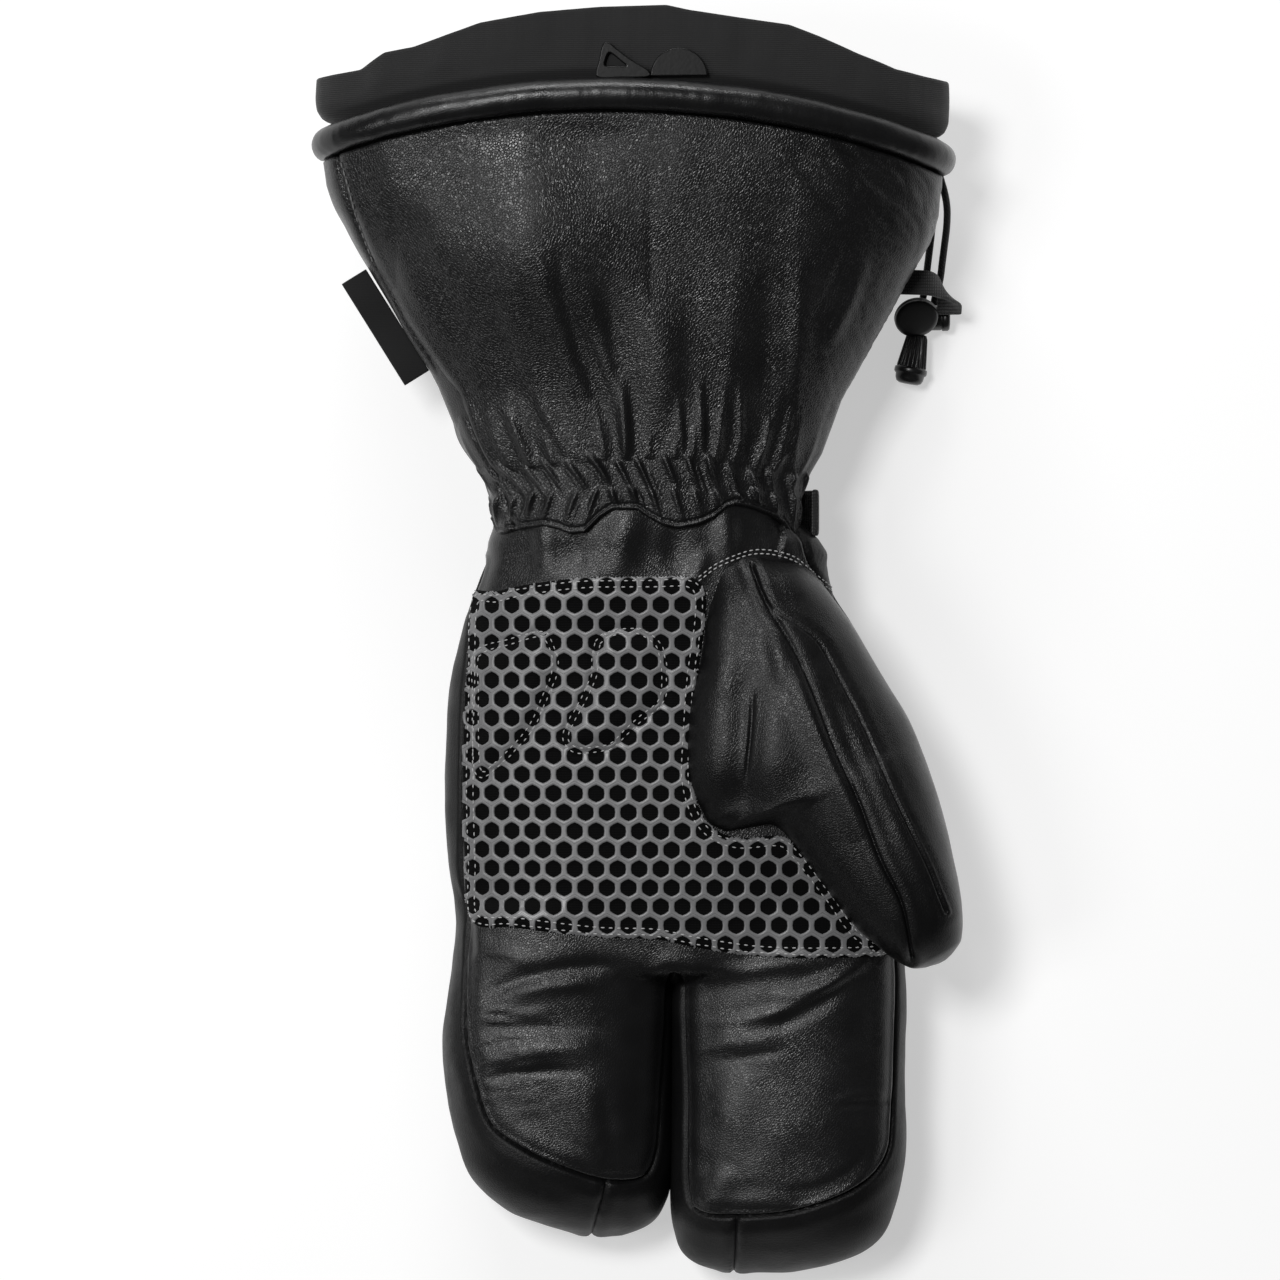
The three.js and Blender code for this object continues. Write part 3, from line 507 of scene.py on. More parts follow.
def cloth(name, color, roughness, pitch, depth, turn=0.0, sheen=0.15, gloss=0.5):
    """Woven cloth whose threads run along X and Y, pitch metres apart."""
    material, tree, shader, place = new_material(name)
    turned = add_node(tree, "ShaderNodeMapping", {"Vector": place, "Rotation": (0, 0, turn)}).outputs[0]
    heights = []
    for direction, share in (("X", 1.0), ("Y", CROSS_THREADS)):
        scale = share * math.pi / (10 * pitch) * 2
        sizes = {"Vector": turned, "Scale": scale, "Distortion": 0.6, "Detail": 1.0}
        wave = add_node(tree, "ShaderNodeTexWave", sizes, bands_direction=direction)
        heights.append(wave.outputs["Fac"])
    weave = add_node(tree, "ShaderNodeMath", {0: heights[0], 1: heights[1]}, operation="MULTIPLY").outputs[0]
    bump = add_node(tree, "ShaderNodeBump", {"Height": weave, "Distance": depth})
    tree.links.new(bump.outputs[0], shader.inputs["Normal"])
    shader.inputs["Roughness"].default_value = roughness
    shader.inputs["Sheen Weight"].default_value = sheen
    finish_shader(tree, shader, weave, color, CLOTH_SPREAD, gloss)
    return material


nylon = cloth("woven nylon", (0.012, 0.012, 0.0124), 0.75, 0.0007, 0.00008, gloss=0.3)
grip_fabric = cloth("grip fabric", (0.002, 0.002, 0.0021), 0.85, 0.0009, 0.00012, sheen=0.0, gloss=0.1)
webbing = cloth("webbing", (0.009, 0.009, 0.0094), 0.8, 0.0011, 0.0002)
tab_tape = cloth("woven tape", (0.008, 0.008, 0.0084), 0.75, 0.0006, 0.00006, gloss=0.3)
cord_braid = cloth("cord braid", (0.01, 0.01, 0.0105), 0.7, 0.0009, 0.00015, turn=math.pi / 4)
lining = cloth("fleece lining", (0.01, 0.01, 0.01), 0.95, 0.002, 0.0003)
print(nylon.name, grip_fabric.name, webbing.name, tab_tape.name, cord_braid.name, lining.name)

# %% [markdown]
# ## Plastic, rubber and thread
# The lock, the clip, the net on the palm and the stitches are moulded or spun from one plain stuff. One
# flat colour would look like a drawing, so each gets a slight unevenness in its colour and its surface.

# %% Plastic, rubber and thread
PLAIN_SPREAD = (0.85, 1.15)


def plain(name, color, roughness, gloss=0.5, bump_size=0.0012, bump_depth=0.00002):
    """Moulded plastic, rubber or thread, with a slight unevenness."""
    material, tree, shader, place = new_material(name)
    rough = add_node(tree, "ShaderNodeTexNoise", {"Vector": place, "Scale": 1 / bump_size, "Detail": 3.0})
    bump = add_node(tree, "ShaderNodeBump", {"Height": rough.outputs[0], "Distance": bump_depth})
    tree.links.new(bump.outputs[0], shader.inputs["Normal"])
    shader.inputs["Roughness"].default_value = roughness
    finish_shader(tree, shader, rough.outputs[0], color, PLAIN_SPREAD, gloss)
    return material


silicone = plain("silicone net", (0.16, 0.16, 0.163), 0.36)
lock_plastic = plain("moulded plastic", (0.008, 0.008, 0.0084), 0.32)
clip_plastic = plain("clip plastic", (0.003, 0.003, 0.0031), 0.3, gloss=0.25)
pale_thread = plain("pale thread", (0.4, 0.4, 0.4), 0.6)
grey_thread = plain("grey thread", (0.14, 0.14, 0.14), 0.6)
print(silicone.name, lock_plastic.name, clip_plastic.name, pale_thread.name, grey_thread.name)

# %% [markdown]
# ## Drawcord strands
# Two strands of round braided cord leave the channel under the roll's end and hang down to the lock.
# They could be curves with a bevel. Each is a mesh tube carried along its route without twisting, so
# that its braid stays straight, and the route is the same as the solid's.

# %% Drawcord route
STRAND_DIAMETER = 2.2
STRANDS = {
    "drawcord_a": [
        (90.6, 102.6, 26),
        (92.2, 97.5, 24.2),
        (93.1, 93, 21.4),
        (93.2, 88, 17.6),
        (92.8, 83, 13.6),
        (92.3, 78, 9.9),
        (91.8, 73, 6.6),
        (91, 69, 4.4),
        (90.2, 66.4, 3.2),
        (90, 64.5, 3),
    ],
    "drawcord_b": [
        (88.2, 102.6, 22.5),
        (88.9, 97, 21),
        (89.1, 93, 18.8),
        (88.9, 88, 15.6),
        (88.5, 83, 12.2),
        (88, 78, 9),
        (87.5, 73, 6.2),
        (87, 69, 4.2),
        (86.6, 66.4, 3.2),
        (86.5, 64.5, 3),
    ],
}
print(len(STRANDS), "strands")

# %% [markdown]
# ## Closed lofts
# A cord, a strap, a finger stall and a lock's button are all rings of points closed at both ends. Each
# could be a primitive that is then bent, but rings keep every size a number. Both ends close on a middle
# point, so that nothing is left open.

# %% Closed lofts
def closed_loft(rings, start=0):
    """The points and faces of rings closed at both ends by their middles."""
    count, sides, _ = rings.shape
    points = np.concatenate([rings.reshape(-1, 3), rings[:1].mean(axis=1), rings[-1:].mean(axis=1)])
    around = np.arange(sides)
    after = (around + 1) % sides
    last = (count - 1) * sides
    near = np.stack([np.full(sides, count * sides), after, around], axis=1)
    far = np.stack([np.full(sides, count * sides + 1), around + last, after + last], axis=1)
    faces = np.concatenate([triangles_of(grid_faces(count, sides)), near, far])
    return points, faces + start


def tube_rings(line, radius, sides):
    """Rings round a line, carried along it without twisting."""
    tangents = np.gradient(line, axis=0)
    tangents /= np.linalg.norm(tangents, axis=1, keepdims=True)
    side = np.cross(tangents[0], [0.0, 0.0, 1.0])
    turn = np.arange(sides) / sides * 2 * np.pi
    rings = []
    for point, tangent in zip(line, tangents):
        side = side - tangent * (side @ tangent)
        side /= np.linalg.norm(side)
        up = np.cross(tangent, side)
        rings.append(point + radius * (np.outer(np.cos(turn), side) + np.outer(np.sin(turn), up)))
    return np.array(rings)


STRAND_STEPS = 60
STRAND_SIDES = 16
strands = {}
for strand_name, route in STRANDS.items():
    strand_line = through(route, STRAND_STEPS)
    strand_mesh = closed_loft(tube_rings(strand_line, STRAND_DIAMETER / 2, STRAND_SIDES))
    strands[strand_name] = (make_mesh(strand_name + "_cord", *strand_mesh, cord_braid), strand_line)

# %% [markdown]
# ## Gauntlet sizes
# One tube of grained leather, gathered on two rows of elastic at the wrist and sewn to the hand with a
# turned, wavy edge. A cylinder could be scaled and sculpted to it. Its plain form is a table of shares
# between the wrist's oval and the mouth's, the same as in the solids, so both agree everywhere.

# %% Gauntlet sizes
GAUNTLET_LENGTH = 103.0
MOUTH_RISE = 14.7
MOUTH_TILT = 2.2
MOUTH_WIDTH, MOUTH_DEPTH, MOUTH_OFFSET, MOUTH_LIFT = 185.0, 69.0, -1.4, 3.8
WRIST_WIDTH, WRIST_DEPTH, WRIST_OFFSET, WRIST_LIFT = 94.0, 50.0, 2.5, 7.0
GAUNTLET_SAG = 8.0
LEATHER_WALL = 2.4
HEM_WAVE, HEM_PITCH, HEM_CREST = 2.7, 34.0, -2.4
HEM_LEVEL = 56.0  # how high the turned edge lies where the photo shows it

# at, spread, rise, sag: as shares of the length, from the wrist's size to the mouth's, and of the sag
GAUNTLET_ROWS = [
    (-0.03, 0, 0, 0),
    (0, 0, 0, 0),
    (0.045, 0.01, 0.02, 0.02),
    (0.09, 0.03, 0.04, 0.05),
    (0.135, 0.07, 0.07, 0.12),
    (0.18, 0.14, 0.1, 0.25),
    (0.25, 0.24, 0.17, 0.55),
    (0.36, 0.34, 0.3, 0.9),
    (0.51, 0.523, 0.5, 1),
    (0.69, 0.745, 0.7, 1),
    (0.865, 0.956, 0.9, 0.6),
    (1, 1, 1, 0),
]

# The turned edge at the wrist and the side seam, as columns and rows of the photo
HEM_LINE = [
    (491, 535), (512, 530), (542, 526), (557, 529), (569, 534), (584, 533), (599, 518), (612, 510),
    (637, 510), (649, 518), (664, 526), (679, 529), (699, 525), (714, 518), (726, 508), (736, 505),
    (753, 508), (773, 515), (786, 523), (798, 541),
]
GAUNTLET_SEAM = [
    (333, 140), (337, 161), (343, 185), (352, 218), (367, 259), (397, 312), (430, 366), (463, 420),
    (479, 452), (495, 482), (506, 513), (512, 530),
]
print("gauntlet", GAUNTLET_LENGTH, "mm long at its sides")

# %% [markdown]
# ## Gathers and folds of the gauntlet
# Elastic draws the leather into two rows of slanted ridges, which run out as long folds. Simulation
# would gather it elsewhere. The rows are formulas round the wrist, and the broad folds a table.

# %% Gathers and folds
PLEAT_COUNT = 38
PLEAT_HEIGHT = 2.0
LOWER_ROW = 7.5  # where the two rows of elastic lie, above the wrist seam
UPPER_ROW = 18.3
LONG_FOLD = 15.0  # how far the folds above the upper row reach
UPPER_LEAN = -0.065  # how far the ridges slant, as pleats for a millimetre of height
LEFT_LEAN, RIGHT_LEAN = 0.075, -0.05  # the same in the lower row, on its two sides
LOWER_SHARE = 0.9  # how high the lower row's ridges are, against the upper row's
SIDE_CALM = 0.55  # how much lower the ridges are round the wrist's sides
GATHER_SEEDS = {"upper": 5, "lower": 8, "long": 9}

# x and how much lower the upper row lies there
ROW_DROP = [(-47, 4.4), (-36, 3.3), (-10, 0.5), (10, 0), (25, 1.6), (36, 5.0), (47, 6.0)]

# row, left, right: how far the sides stand out from the plain form, by rows of the photo
GAUNTLET_TRIM = [
    (186, 0, 0),
    (204, -0.9, 0),
    (228, -2.3, 0),
    (264, -1.8, -0.3),
    (320, -1.2, -0.8),
    (372, -2.4, -1.9),
    (396, -3.8, -2.7),
    (420, -2.7, -3.0),
    (444, -2.1, -3.3),
    (468, -2.4, -3.6),
    (492, -1.4, -1.6),
    (520, -0.9, -0.6),
]

# x0, y0, x1, y1, bow, width, height
GAUNTLET_FOLDS = [
    (395, 252, 650, 250, 0, 78, 7.0),
    (505, 100, 575, 400, 10, 46, 2.8),
    (625, 250, 662, 430, -8, 24, 1.6),
    (556, 250, 606, 420, 6, 9, -1.3),
    (574, 300, 612, 400, 2, 3, -0.5),
    (585, 275, 630, 455, 0, 9, 1.2),
    (500, 270, 566, 450, 6, 12, 1.0),
    (530, 380, 572, 462, 2, 6, 0.8),
    (496, 400, 540, 474, 0, 5, 0.7),
    (622, 372, 628, 464, 0, 6, 1.2),
    (678, 395, 684, 462, 0, 4, 0.8),
    (700, 380, 703, 462, 0, 4, 1.0),
    (718, 410, 722, 462, 0, 4, 0.6),
    (741, 385, 741, 466, 0, 5, 1.0),
    (771, 415, 758, 480, 0, 4, 1.0),
    (794, 405, 776, 476, 0, 5, 0.9),
    (742, 230, 736, 440, 6, 16, 0.7),
    (696, 250, 690, 420, 0, 16, -0.5),
    (800, 250, 786, 430, -6, 14, 0.8),
    (768, 262, 764, 400, 0, 10, -0.4),
    (815, 130, 905, 222, 4, 7, 0.9),
    (838, 128, 918, 196, 4, 6, 0.7),
    (790, 150, 872, 248, 4, 8, -0.6),
    (866, 250, 822, 352, -6, 8, 0.9),
    (850, 235, 806, 330, -6, 6, -0.5),
    (350, 190, 446, 400, -10, 16, 0.8),
    (395, 160, 480, 360, 8, 16, -0.9),
    (378, 108, 400, 220, 0, 16, 0.7),
]
print(PLEAT_COUNT, "pleats and", len(GAUNTLET_FOLDS), "folds")


# %% [markdown]
# ## The gauntlet's plain form
# Without folds the gauntlet is a flared tube from an oval wrist to a wide, low mouth. Curves could be
# lofted. A function of the place is used, because the roll, the sleeve and the strap follow it too.

# %% Plain gauntlet
def angles_at(shares, left, right, bottom, top):
    """The angles at shares of the way round an oval, from its +X side over its top."""
    fine = np.linspace(0, 2 * np.pi, 4001)
    x, z, _, _ = section(fine, left, right, bottom, top)
    run = np.concatenate([[0], np.cumsum(np.hypot(np.diff(x), np.diff(z)))])
    return np.interp(shares * run[-1], run, fine)


def even_angles(count, left, right, bottom, top):
    return angles_at(np.arange(count) / count, left, right, bottom, top)


def hem_height(x, upper):
    """Y of the turned edge. upper is 1 on the palm's side and 0 on the back."""
    line = from_photo(HEM_LINE, HEM_LEVEL)
    shown = np.interp(x, line[:, 0], line[:, 1])
    hidden = HEM_WAVE * np.cos(2 * np.pi * (x - HEM_CREST) / HEM_PITCH)
    return upper * shown + (1 - upper) * hidden


def gauntlet_shape(at, angle, outset=0.0):
    """Points of the plain gauntlet and their outward directions."""
    spread, rise, sag = read_table(GAUNTLET_ROWS, at)
    half_width = (WRIST_WIDTH + (MOUTH_WIDTH - WRIST_WIDTH) * spread) / 2
    middle = WRIST_OFFSET + (MOUTH_OFFSET - WRIST_OFFSET) * at
    bottom = WRIST_LIFT + (MOUTH_LIFT - WRIST_LIFT) * at - GAUNTLET_SAG * sag
    wrist_top, mouth_top = WRIST_LIFT + WRIST_DEPTH, MOUTH_LIFT + MOUTH_DEPTH
    top = wrist_top + (mouth_top - wrist_top) * rise
    x, z, out_x, out_z = section(angle, middle - half_width, middle + half_width, bottom, top)
    across = (x - middle) / half_width
    mouth = GAUNTLET_LENGTH + MOUTH_RISE * (1 - across**2) - MOUTH_TILT * across
    hem = hem_height(x, smooth_step(-0.1, 0.5, out_z))
    y = hem + (mouth - hem) * at
    points = np.stack([x + outset * out_x, y, z + outset * out_z], axis=-1)
    return points, np.stack([out_x, np.zeros_like(out_x), out_z], axis=-1), y - hem


mouth_oval = (
    MOUTH_OFFSET - MOUTH_WIDTH / 2,
    MOUTH_OFFSET + MOUTH_WIDTH / 2,
    MOUTH_LIFT,
    MOUTH_LIFT + MOUTH_DEPTH,
)
wrist_oval = (
    WRIST_OFFSET - WRIST_WIDTH / 2,
    WRIST_OFFSET + WRIST_WIDTH / 2,
    WRIST_LIFT,
    WRIST_LIFT + WRIST_DEPTH,
)
print("mouth", mouth_oval, "wrist", wrist_oval)


# %% [markdown]
# ## Ridges of the gathers
# Each ridge of gathered leather starts sharply under the elastic and fades, unlike its neighbour. One
# ridge could be repeated, but the leather is one skin, so random ridges are added up as heights.

# %% Ridges
def gathered(share, y, top, bottom, lean, seed):
    """The slanted ridges of one gathered row. Each starts sharply at its upper end and fades downwards."""
    random = np.random.default_rng(seed).uniform(-1, 1, size=(6, PLEAT_COUNT))
    cell = PLEAT_COUNT * share + lean * (y - (top + bottom) / 2)
    pick = np.floor(cell).astype(int) % PLEAT_COUNT
    aside = cell % 1 - 0.5 - 0.12 * random[0][pick]
    down = (top + 1.2 * random[1][pick] - y) / (top - bottom + 1.5 * random[2][pick])
    run = smooth_step(-0.02, 0.3, down) * smooth_step(1.15, 0.35, down)
    crest = 0.8 * bell(aside, 0.13) + 0.2 * bell(aside, 0.3)
    beside = aside - 0.3 * np.sign(random[3][pick])
    small = 0.3 * (0.5 + 0.5 * random[4][pick]) * bell(beside, 0.06)
    small *= smooth_step(0.25, 0.5, down) * smooth_step(1.1, 0.8, down)
    return PLEAT_HEIGHT * (0.85 + 0.3 * random[5][pick]) * (run * crest + small)


def long_folds(share, y, seed):
    """The thin folds that run on up the gauntlet from the gathers, each as far as chance has it."""
    random = np.random.default_rng(seed).uniform(0, 1, size=(3, PLEAT_COUNT))
    cell = PLEAT_COUNT * share + 0.15
    pick = np.floor(cell).astype(int) % PLEAT_COUNT
    aside = cell % 1 - 0.35 - 0.3 * random[0][pick]
    beyond = np.clip(y - UPPER_ROW + 2, 0, None)
    run = (1 - np.exp(-beyond / 1.5)) * np.exp(-((beyond / (LONG_FOLD * (0.4 + random[1][pick]))) ** 2))
    crest = 0.55 * np.exp(-np.abs(aside / 0.15) ** 1.3) + 0.45 * bell(aside, 0.3)
    pair = np.abs(2 * ((PLEAT_COUNT / 3 * share + 0.3) % 1) - 1)
    broad = (1 - pair**1.6) * np.exp(-beyond / (2.2 * LONG_FOLD)) * (1 - np.exp(-beyond / 9))
    return PLEAT_HEIGHT * (0.25 + 0.45 * random[2][pick]) * crest * run + 0.7 * broad


def gathers(x, y, share, lip, out_x):
    """Both rows of ridges and the long folds above them. lip is the height above the turned edge."""
    drop = np.interp(x, *np.array(ROW_DROP, dtype=float).T)
    between = LOWER_ROW - 0.4 * drop
    total = gathered(share, y, UPPER_ROW + 0.8 - drop, between - 1.0, UPPER_LEAN, GATHER_SEEDS["upper"])
    lower_lean = np.where(share > 0.3, LEFT_LEAN, RIGHT_LEAN)
    shifted = share + 0.4 / PLEAT_COUNT
    lower = gathered(shifted, y, between + 1.2, y - lip + 1.2, lower_lean, GATHER_SEEDS["lower"])
    total += LOWER_SHARE * lower + long_folds(share, y + drop, GATHER_SEEDS["long"])
    return total * (1 - SIDE_CALM * smooth_step(0.8, 1.0, np.abs(out_x)))


# %% [markdown]
# ## All of the gauntlet's relief
# Gathers, the turned edge, the side seam, folds and the leather's own unevenness lie over one another.
# Displace modifiers could be stacked. One sum in millimetres keeps each off the others' places.

# %% Gauntlet relief
EDGE_SWELL, EDGE_GROOVE, EDGE_TUCK = 0.4, 0.45, 0.9  # the turned edge: its roll, what lies above it, its end
SEAM_SWELL, SEAM_GROOVE = 0.5, 0.9
RIGHT_CREASES = 0.22
FULL_FROM = 60  # above this height the relief fades out towards the mouth


def gauntlet_relief(points, share, above_hem, outward):
    """Millimetres that the gauntlet's outside stands out from its plain shape."""
    flat = points.reshape(-1, 3)
    out_x, _, out_z = outward.reshape(-1, 3).T
    upper = smooth_step(0.0, 0.5, out_z)
    y, lip = flat[:, 1], above_hem.ravel()
    total = gathers(flat[:, 0], y, share.ravel(), lip, out_x)
    total += EDGE_SWELL * bell(lip - 0.8, 0.45) - EDGE_GROOVE * bell(lip - 1.7, 0.6)
    total -= EDGE_TUCK * bell(lip, 0.35)
    total += upper * folds(flat, GAUNTLET_FOLDS)
    places = in_photo(flat)
    seam, _ = line_distance(places, through(GAUNTLET_SEAM, 60))
    total += upper * (SEAM_SWELL * bell(seam - 8, 6) - SEAM_GROOVE * bell(seam, 2.2))
    left, right = read_table(GAUNTLET_TRIM, places[:, 1])
    total += left * np.clip(-out_x, 0, 1) ** 1.5 + right * np.clip(out_x, 0, 1) ** 1.5
    away = smooth_step(UPPER_ROW, UPPER_ROW + 14, y)
    total += away * (0.6 * noise(flat, (26, 40, 26)) + 0.25 * noise(flat + 50, (11, 24, 11)))
    slanted = np.stack([flat[:, 0] - flat[:, 1], flat[:, 0] + flat[:, 1], flat[:, 2]], axis=1)
    right_side = smooth_step(35, 62, flat[:, 0]) * away
    total += right_side * RIGHT_CREASES * creased(slanted, (22, 4, 9))
    end = smooth_step(1.0, 0.93, y / (GAUNTLET_LENGTH + MOUTH_RISE))
    return (total * np.where(y > FULL_FROM, end, 1)).reshape(above_hem.shape)


# %% [markdown]
# ## Gauntlet
# The gauntlet is a wall about 2.4 mm thick. A Solidify modifier could thicken one skin, but the pleats
# would cut through themselves inside. The outside is a fine grid, closer where the gathers are, and the
# inside is a coarse one at the plain form.

# %% Gauntlet
OUTSIDE_COLUMNS = 490
TOP_COLUMNS = 0.66  # the share of the columns that the palm's half gets
OUTSIDE_ROWS = 176
GATHER_ROWS, GATHER_REACH = 0.42, 0.2  # the share of the rows that lie in the first share of the length
INSIDE_ROWS = 14

wrist_shares = np.interp(np.arange(OUTSIDE_COLUMNS) / OUTSIDE_COLUMNS, [0, TOP_COLUMNS, 1], [0, 0.5, 1])
wrist_angles = angles_at(wrist_shares, *wrist_oval)
outside_at = np.interp(np.linspace(0, 1, OUTSIDE_ROWS), [0, GATHER_ROWS, 1], [0, GATHER_REACH, 1])


def gauntlet_wall():
    at, angle = np.meshgrid(outside_at, wrist_angles, indexing="ij")
    points, outward, above_hem = gauntlet_shape(at, angle)
    share = np.broadcast_to(wrist_shares, at.shape)
    relief = gauntlet_relief(points, share, above_hem, outward)
    outside = points + outward * relief[..., None]
    at, angle = np.meshgrid(np.linspace(1, 0, INSIDE_ROWS), wrist_angles, indexing="ij")
    inside, _, _ = gauntlet_shape(at, angle, -LEATHER_WALL)
    grid = np.concatenate([outside, inside])
    grid[..., 2] = np.maximum(grid[..., 2], 0)
    return grid


gauntlet_grid = gauntlet_wall()
gauntlet = make_mesh(
    "gauntlet_shell",
    gauntlet_grid.reshape(-1, 3),
    grid_faces(len(gauntlet_grid), OUTSIDE_COLUMNS, round_rows=True),
    leathers["gauntlet leather"],
)

# %% [markdown]
# ## Padded roll
# A stuffed leather tube about 10 mm thick is sewn round the gauntlet's mouth and hides the drawcord's
# channel. A bevelled curve could make it. Rings of points are used because its stuffing swells unevenly
# and its underside is drawn in at the seam.

# %% Padded roll
ROLL_RADIUS = 5.0
FIT = 0.3  # the clearance between sewn pieces, as in the solids
ROLL_STEPS = 560
ROLL_SIDES = 28
ROLL_SEAM_DEPTH = 0.5


def roll_grid():
    """Rings round the mouth's outline."""
    mouth_angles = even_angles(ROLL_STEPS, *mouth_oval)
    middle, outward, _ = gauntlet_shape(np.ones(ROLL_STEPS), mouth_angles, -LEATHER_WALL / 2)
    middle[:, 1] += ROLL_RADIUS + FIT
    turn = np.arange(ROLL_SIDES) / ROLL_SIDES * 2 * np.pi
    forward = np.array([0.0, 1.0, 0.0])
    ring = outward[:, None] * np.cos(turn)[None, :, None] + forward * np.sin(turn)[None, :, None]
    base = middle[:, None] + ROLL_RADIUS * ring
    swell = 0.28 * noise(base, 17) + 0.12 * noise(base + 30, 6) + 0.08 * creased(base, (3.2, 8, 3.2))
    below = bell(((turn + np.pi / 2 + np.pi) % (2 * np.pi)) - np.pi, 0.35)
    return middle[:, None] + ring * (ROLL_RADIUS + swell - ROLL_SEAM_DEPTH * below)[..., None]


roll = make_mesh(
    "mouth_roll",
    roll_grid().reshape(-1, 3),
    grid_faces(ROLL_STEPS, ROLL_SIDES, round_rows=True),
    leathers["roll leather"],
)

# %% [markdown]
# ## Nylon sleeve
# A thin woven tube is sewn inside the mouth and stands out past the roll. It could be simulated as cloth.
# It is short and stiff, so a table of insets, its edge in the photo and a little noise are surer.

# %% Nylon sleeve
SLEEVE_LENGTH = 25.5
SLEEVE_WALL = 1.0
SLEEVE_COLUMNS = 480
SLEEVE_ROWS = 44
SLEEVE_INSET = LEATHER_WALL / 2 + ROLL_RADIUS + FIT
SLEEVE_BEHIND = 1.5  # how much shorter its back is than its front
SLEEVE_LEVEL = 66.0  # how high its front edge lies
SLEEVE_START = -0.8  # where it is sewn in, before the roll's middle, as a share of its length

# beyond, side, face, under: past the roll's middle as a share of the sleeve's length, and how far
# inside the mouth's outline at the sides, the palm's face and the back
SLEEVE_INSETS = [
    (SLEEVE_START, 1.45, 1.3, 1.2),
    (-0.2, 1, 1, 1),
    (0.2, 0.75, 1, 1),
    (0.32, -0.05, 0.75, 0.2),
    (0.5, -0.28, 0.75, 0.0),
    (0.75, -0.3, 0.8, -0.3),
    (1, -0.28, 0.9, -0.42),
]
SLEEVE_EDGE = [
    (318, 72), (360, 66), (385, 50), (413, 45), (440, 36), (480, 22), (540, 12), (600, 7), (666, 5),
    (690, 10), (730, 16), (790, 24), (820, 35), (860, 52), (895, 66), (925, 72), (945, 75),
]


def sleeve_grid(wall):
    """One skin of the sleeve, wall millimetres inside its outer one."""
    beyond = np.linspace(SLEEVE_START, 1, SLEEVE_ROWS)
    side, face, under = read_table(SLEEVE_INSETS, beyond)[:, :, None]
    edge, outward, _ = gauntlet_shape(np.ones(SLEEVE_COLUMNS), even_angles(SLEEVE_COLUMNS, *mouth_oval))
    above = smooth_step(-0.3, 0.3, outward[:, 2])
    face_share = above * face + (1 - above) * under
    grid = np.empty((SLEEVE_ROWS, SLEEVE_COLUMNS, 3))
    grid[..., 0] = edge[:, 0] - outward[:, 0] * (side * SLEEVE_INSET + wall)
    grid[..., 2] = edge[:, 2] - outward[:, 2] * (face_share * SLEEVE_INSET + wall)
    grid[..., 1] = edge[:, 1] + ROLL_RADIUS + FIT + beyond[:, None] * SLEEVE_LENGTH
    free = smooth_step(0.25, 0.7, beyond)[:, None]
    flat = grid.reshape(-1, 3)
    columns = in_photo(grid[-1])[:, 0]
    edge_rows = np.interp(columns, *np.array(SLEEVE_EDGE, dtype=float).T)
    shown = from_photo(np.stack([columns, edge_rows], axis=1), SLEEVE_LEVEL)[:, 1]
    shown -= SLEEVE_BEHIND * (1 - above)
    grid[..., 1] += smooth_step(0.2, 1, beyond)[:, None] * (shown - grid[-1, :, 1])
    wave = 0.81 * noise(flat, (13, 60, 30)) + 0.45 * noise(flat + 77, (6, 22, 20))
    wave = free * wave.reshape(grid.shape[:2])
    return grid + outward * wave[..., None]


sleeve_points = np.concatenate([sleeve_grid(0.0), sleeve_grid(SLEEVE_WALL)[::-1]])
sleeve = make_mesh(
    "nylon_sleeve",
    sleeve_points.reshape(-1, 3),
    grid_faces(len(sleeve_points), SLEEVE_COLUMNS, round_rows=True),
    nylon,
)

# %% [markdown]
# ## Hand sizes
# The real hand is sewn from panels and padded until it is one swelling form with two finger stalls.
# Panels could be sewn by simulation. Here the padded form comes first, from tables of shares.

# %% Hand sizes
HAND_WIDTH = 137.2
PALM_LENGTH = 137.1
PALM_DEPTH = 52.0
NECK_LENGTH = 9.0
CROTCH = 10.2  # X of the gap between the stalls
STALL_GAP = -0.3  # the stalls are pressed lightly together
BUILD_GAP = 3.6  # wide enough for the remesh, and closed to STALL_GAP after it
OUTER_WIDTH, OUTER_LENGTH = 68.1, 79.8
INNER_WIDTH, INNER_LENGTH = 69.6, 90.9
PAD_WALL = 4.5

# at, left, right, bottom, top
PALM_ROWS = [
    (0.0875, 0.326, 0.4045, 0.07, 1.02),
    (0.1575, 0.352, 0.422, 0.01, 1.02),
    (0.2626, 0.385, 0.481, -0.04, 1),
    (0.4026, 0.411, 0.525, -0.06, 0.98),
    (0.6127, 0.422, 0.555, -0.06, 0.97),
    (0.788, 0.411, 0.573, -0.06, 0.96),
    (0.985, 0.407, 0.579, -0.06, 0.92),
    (1, 0.407, 0.579, -0.06, 0.86),
    (1.015, 0.406, 0.578, -0.06, 0.7),
    (1.025, 0.405, 0.577, -0.06, 0.4),
]

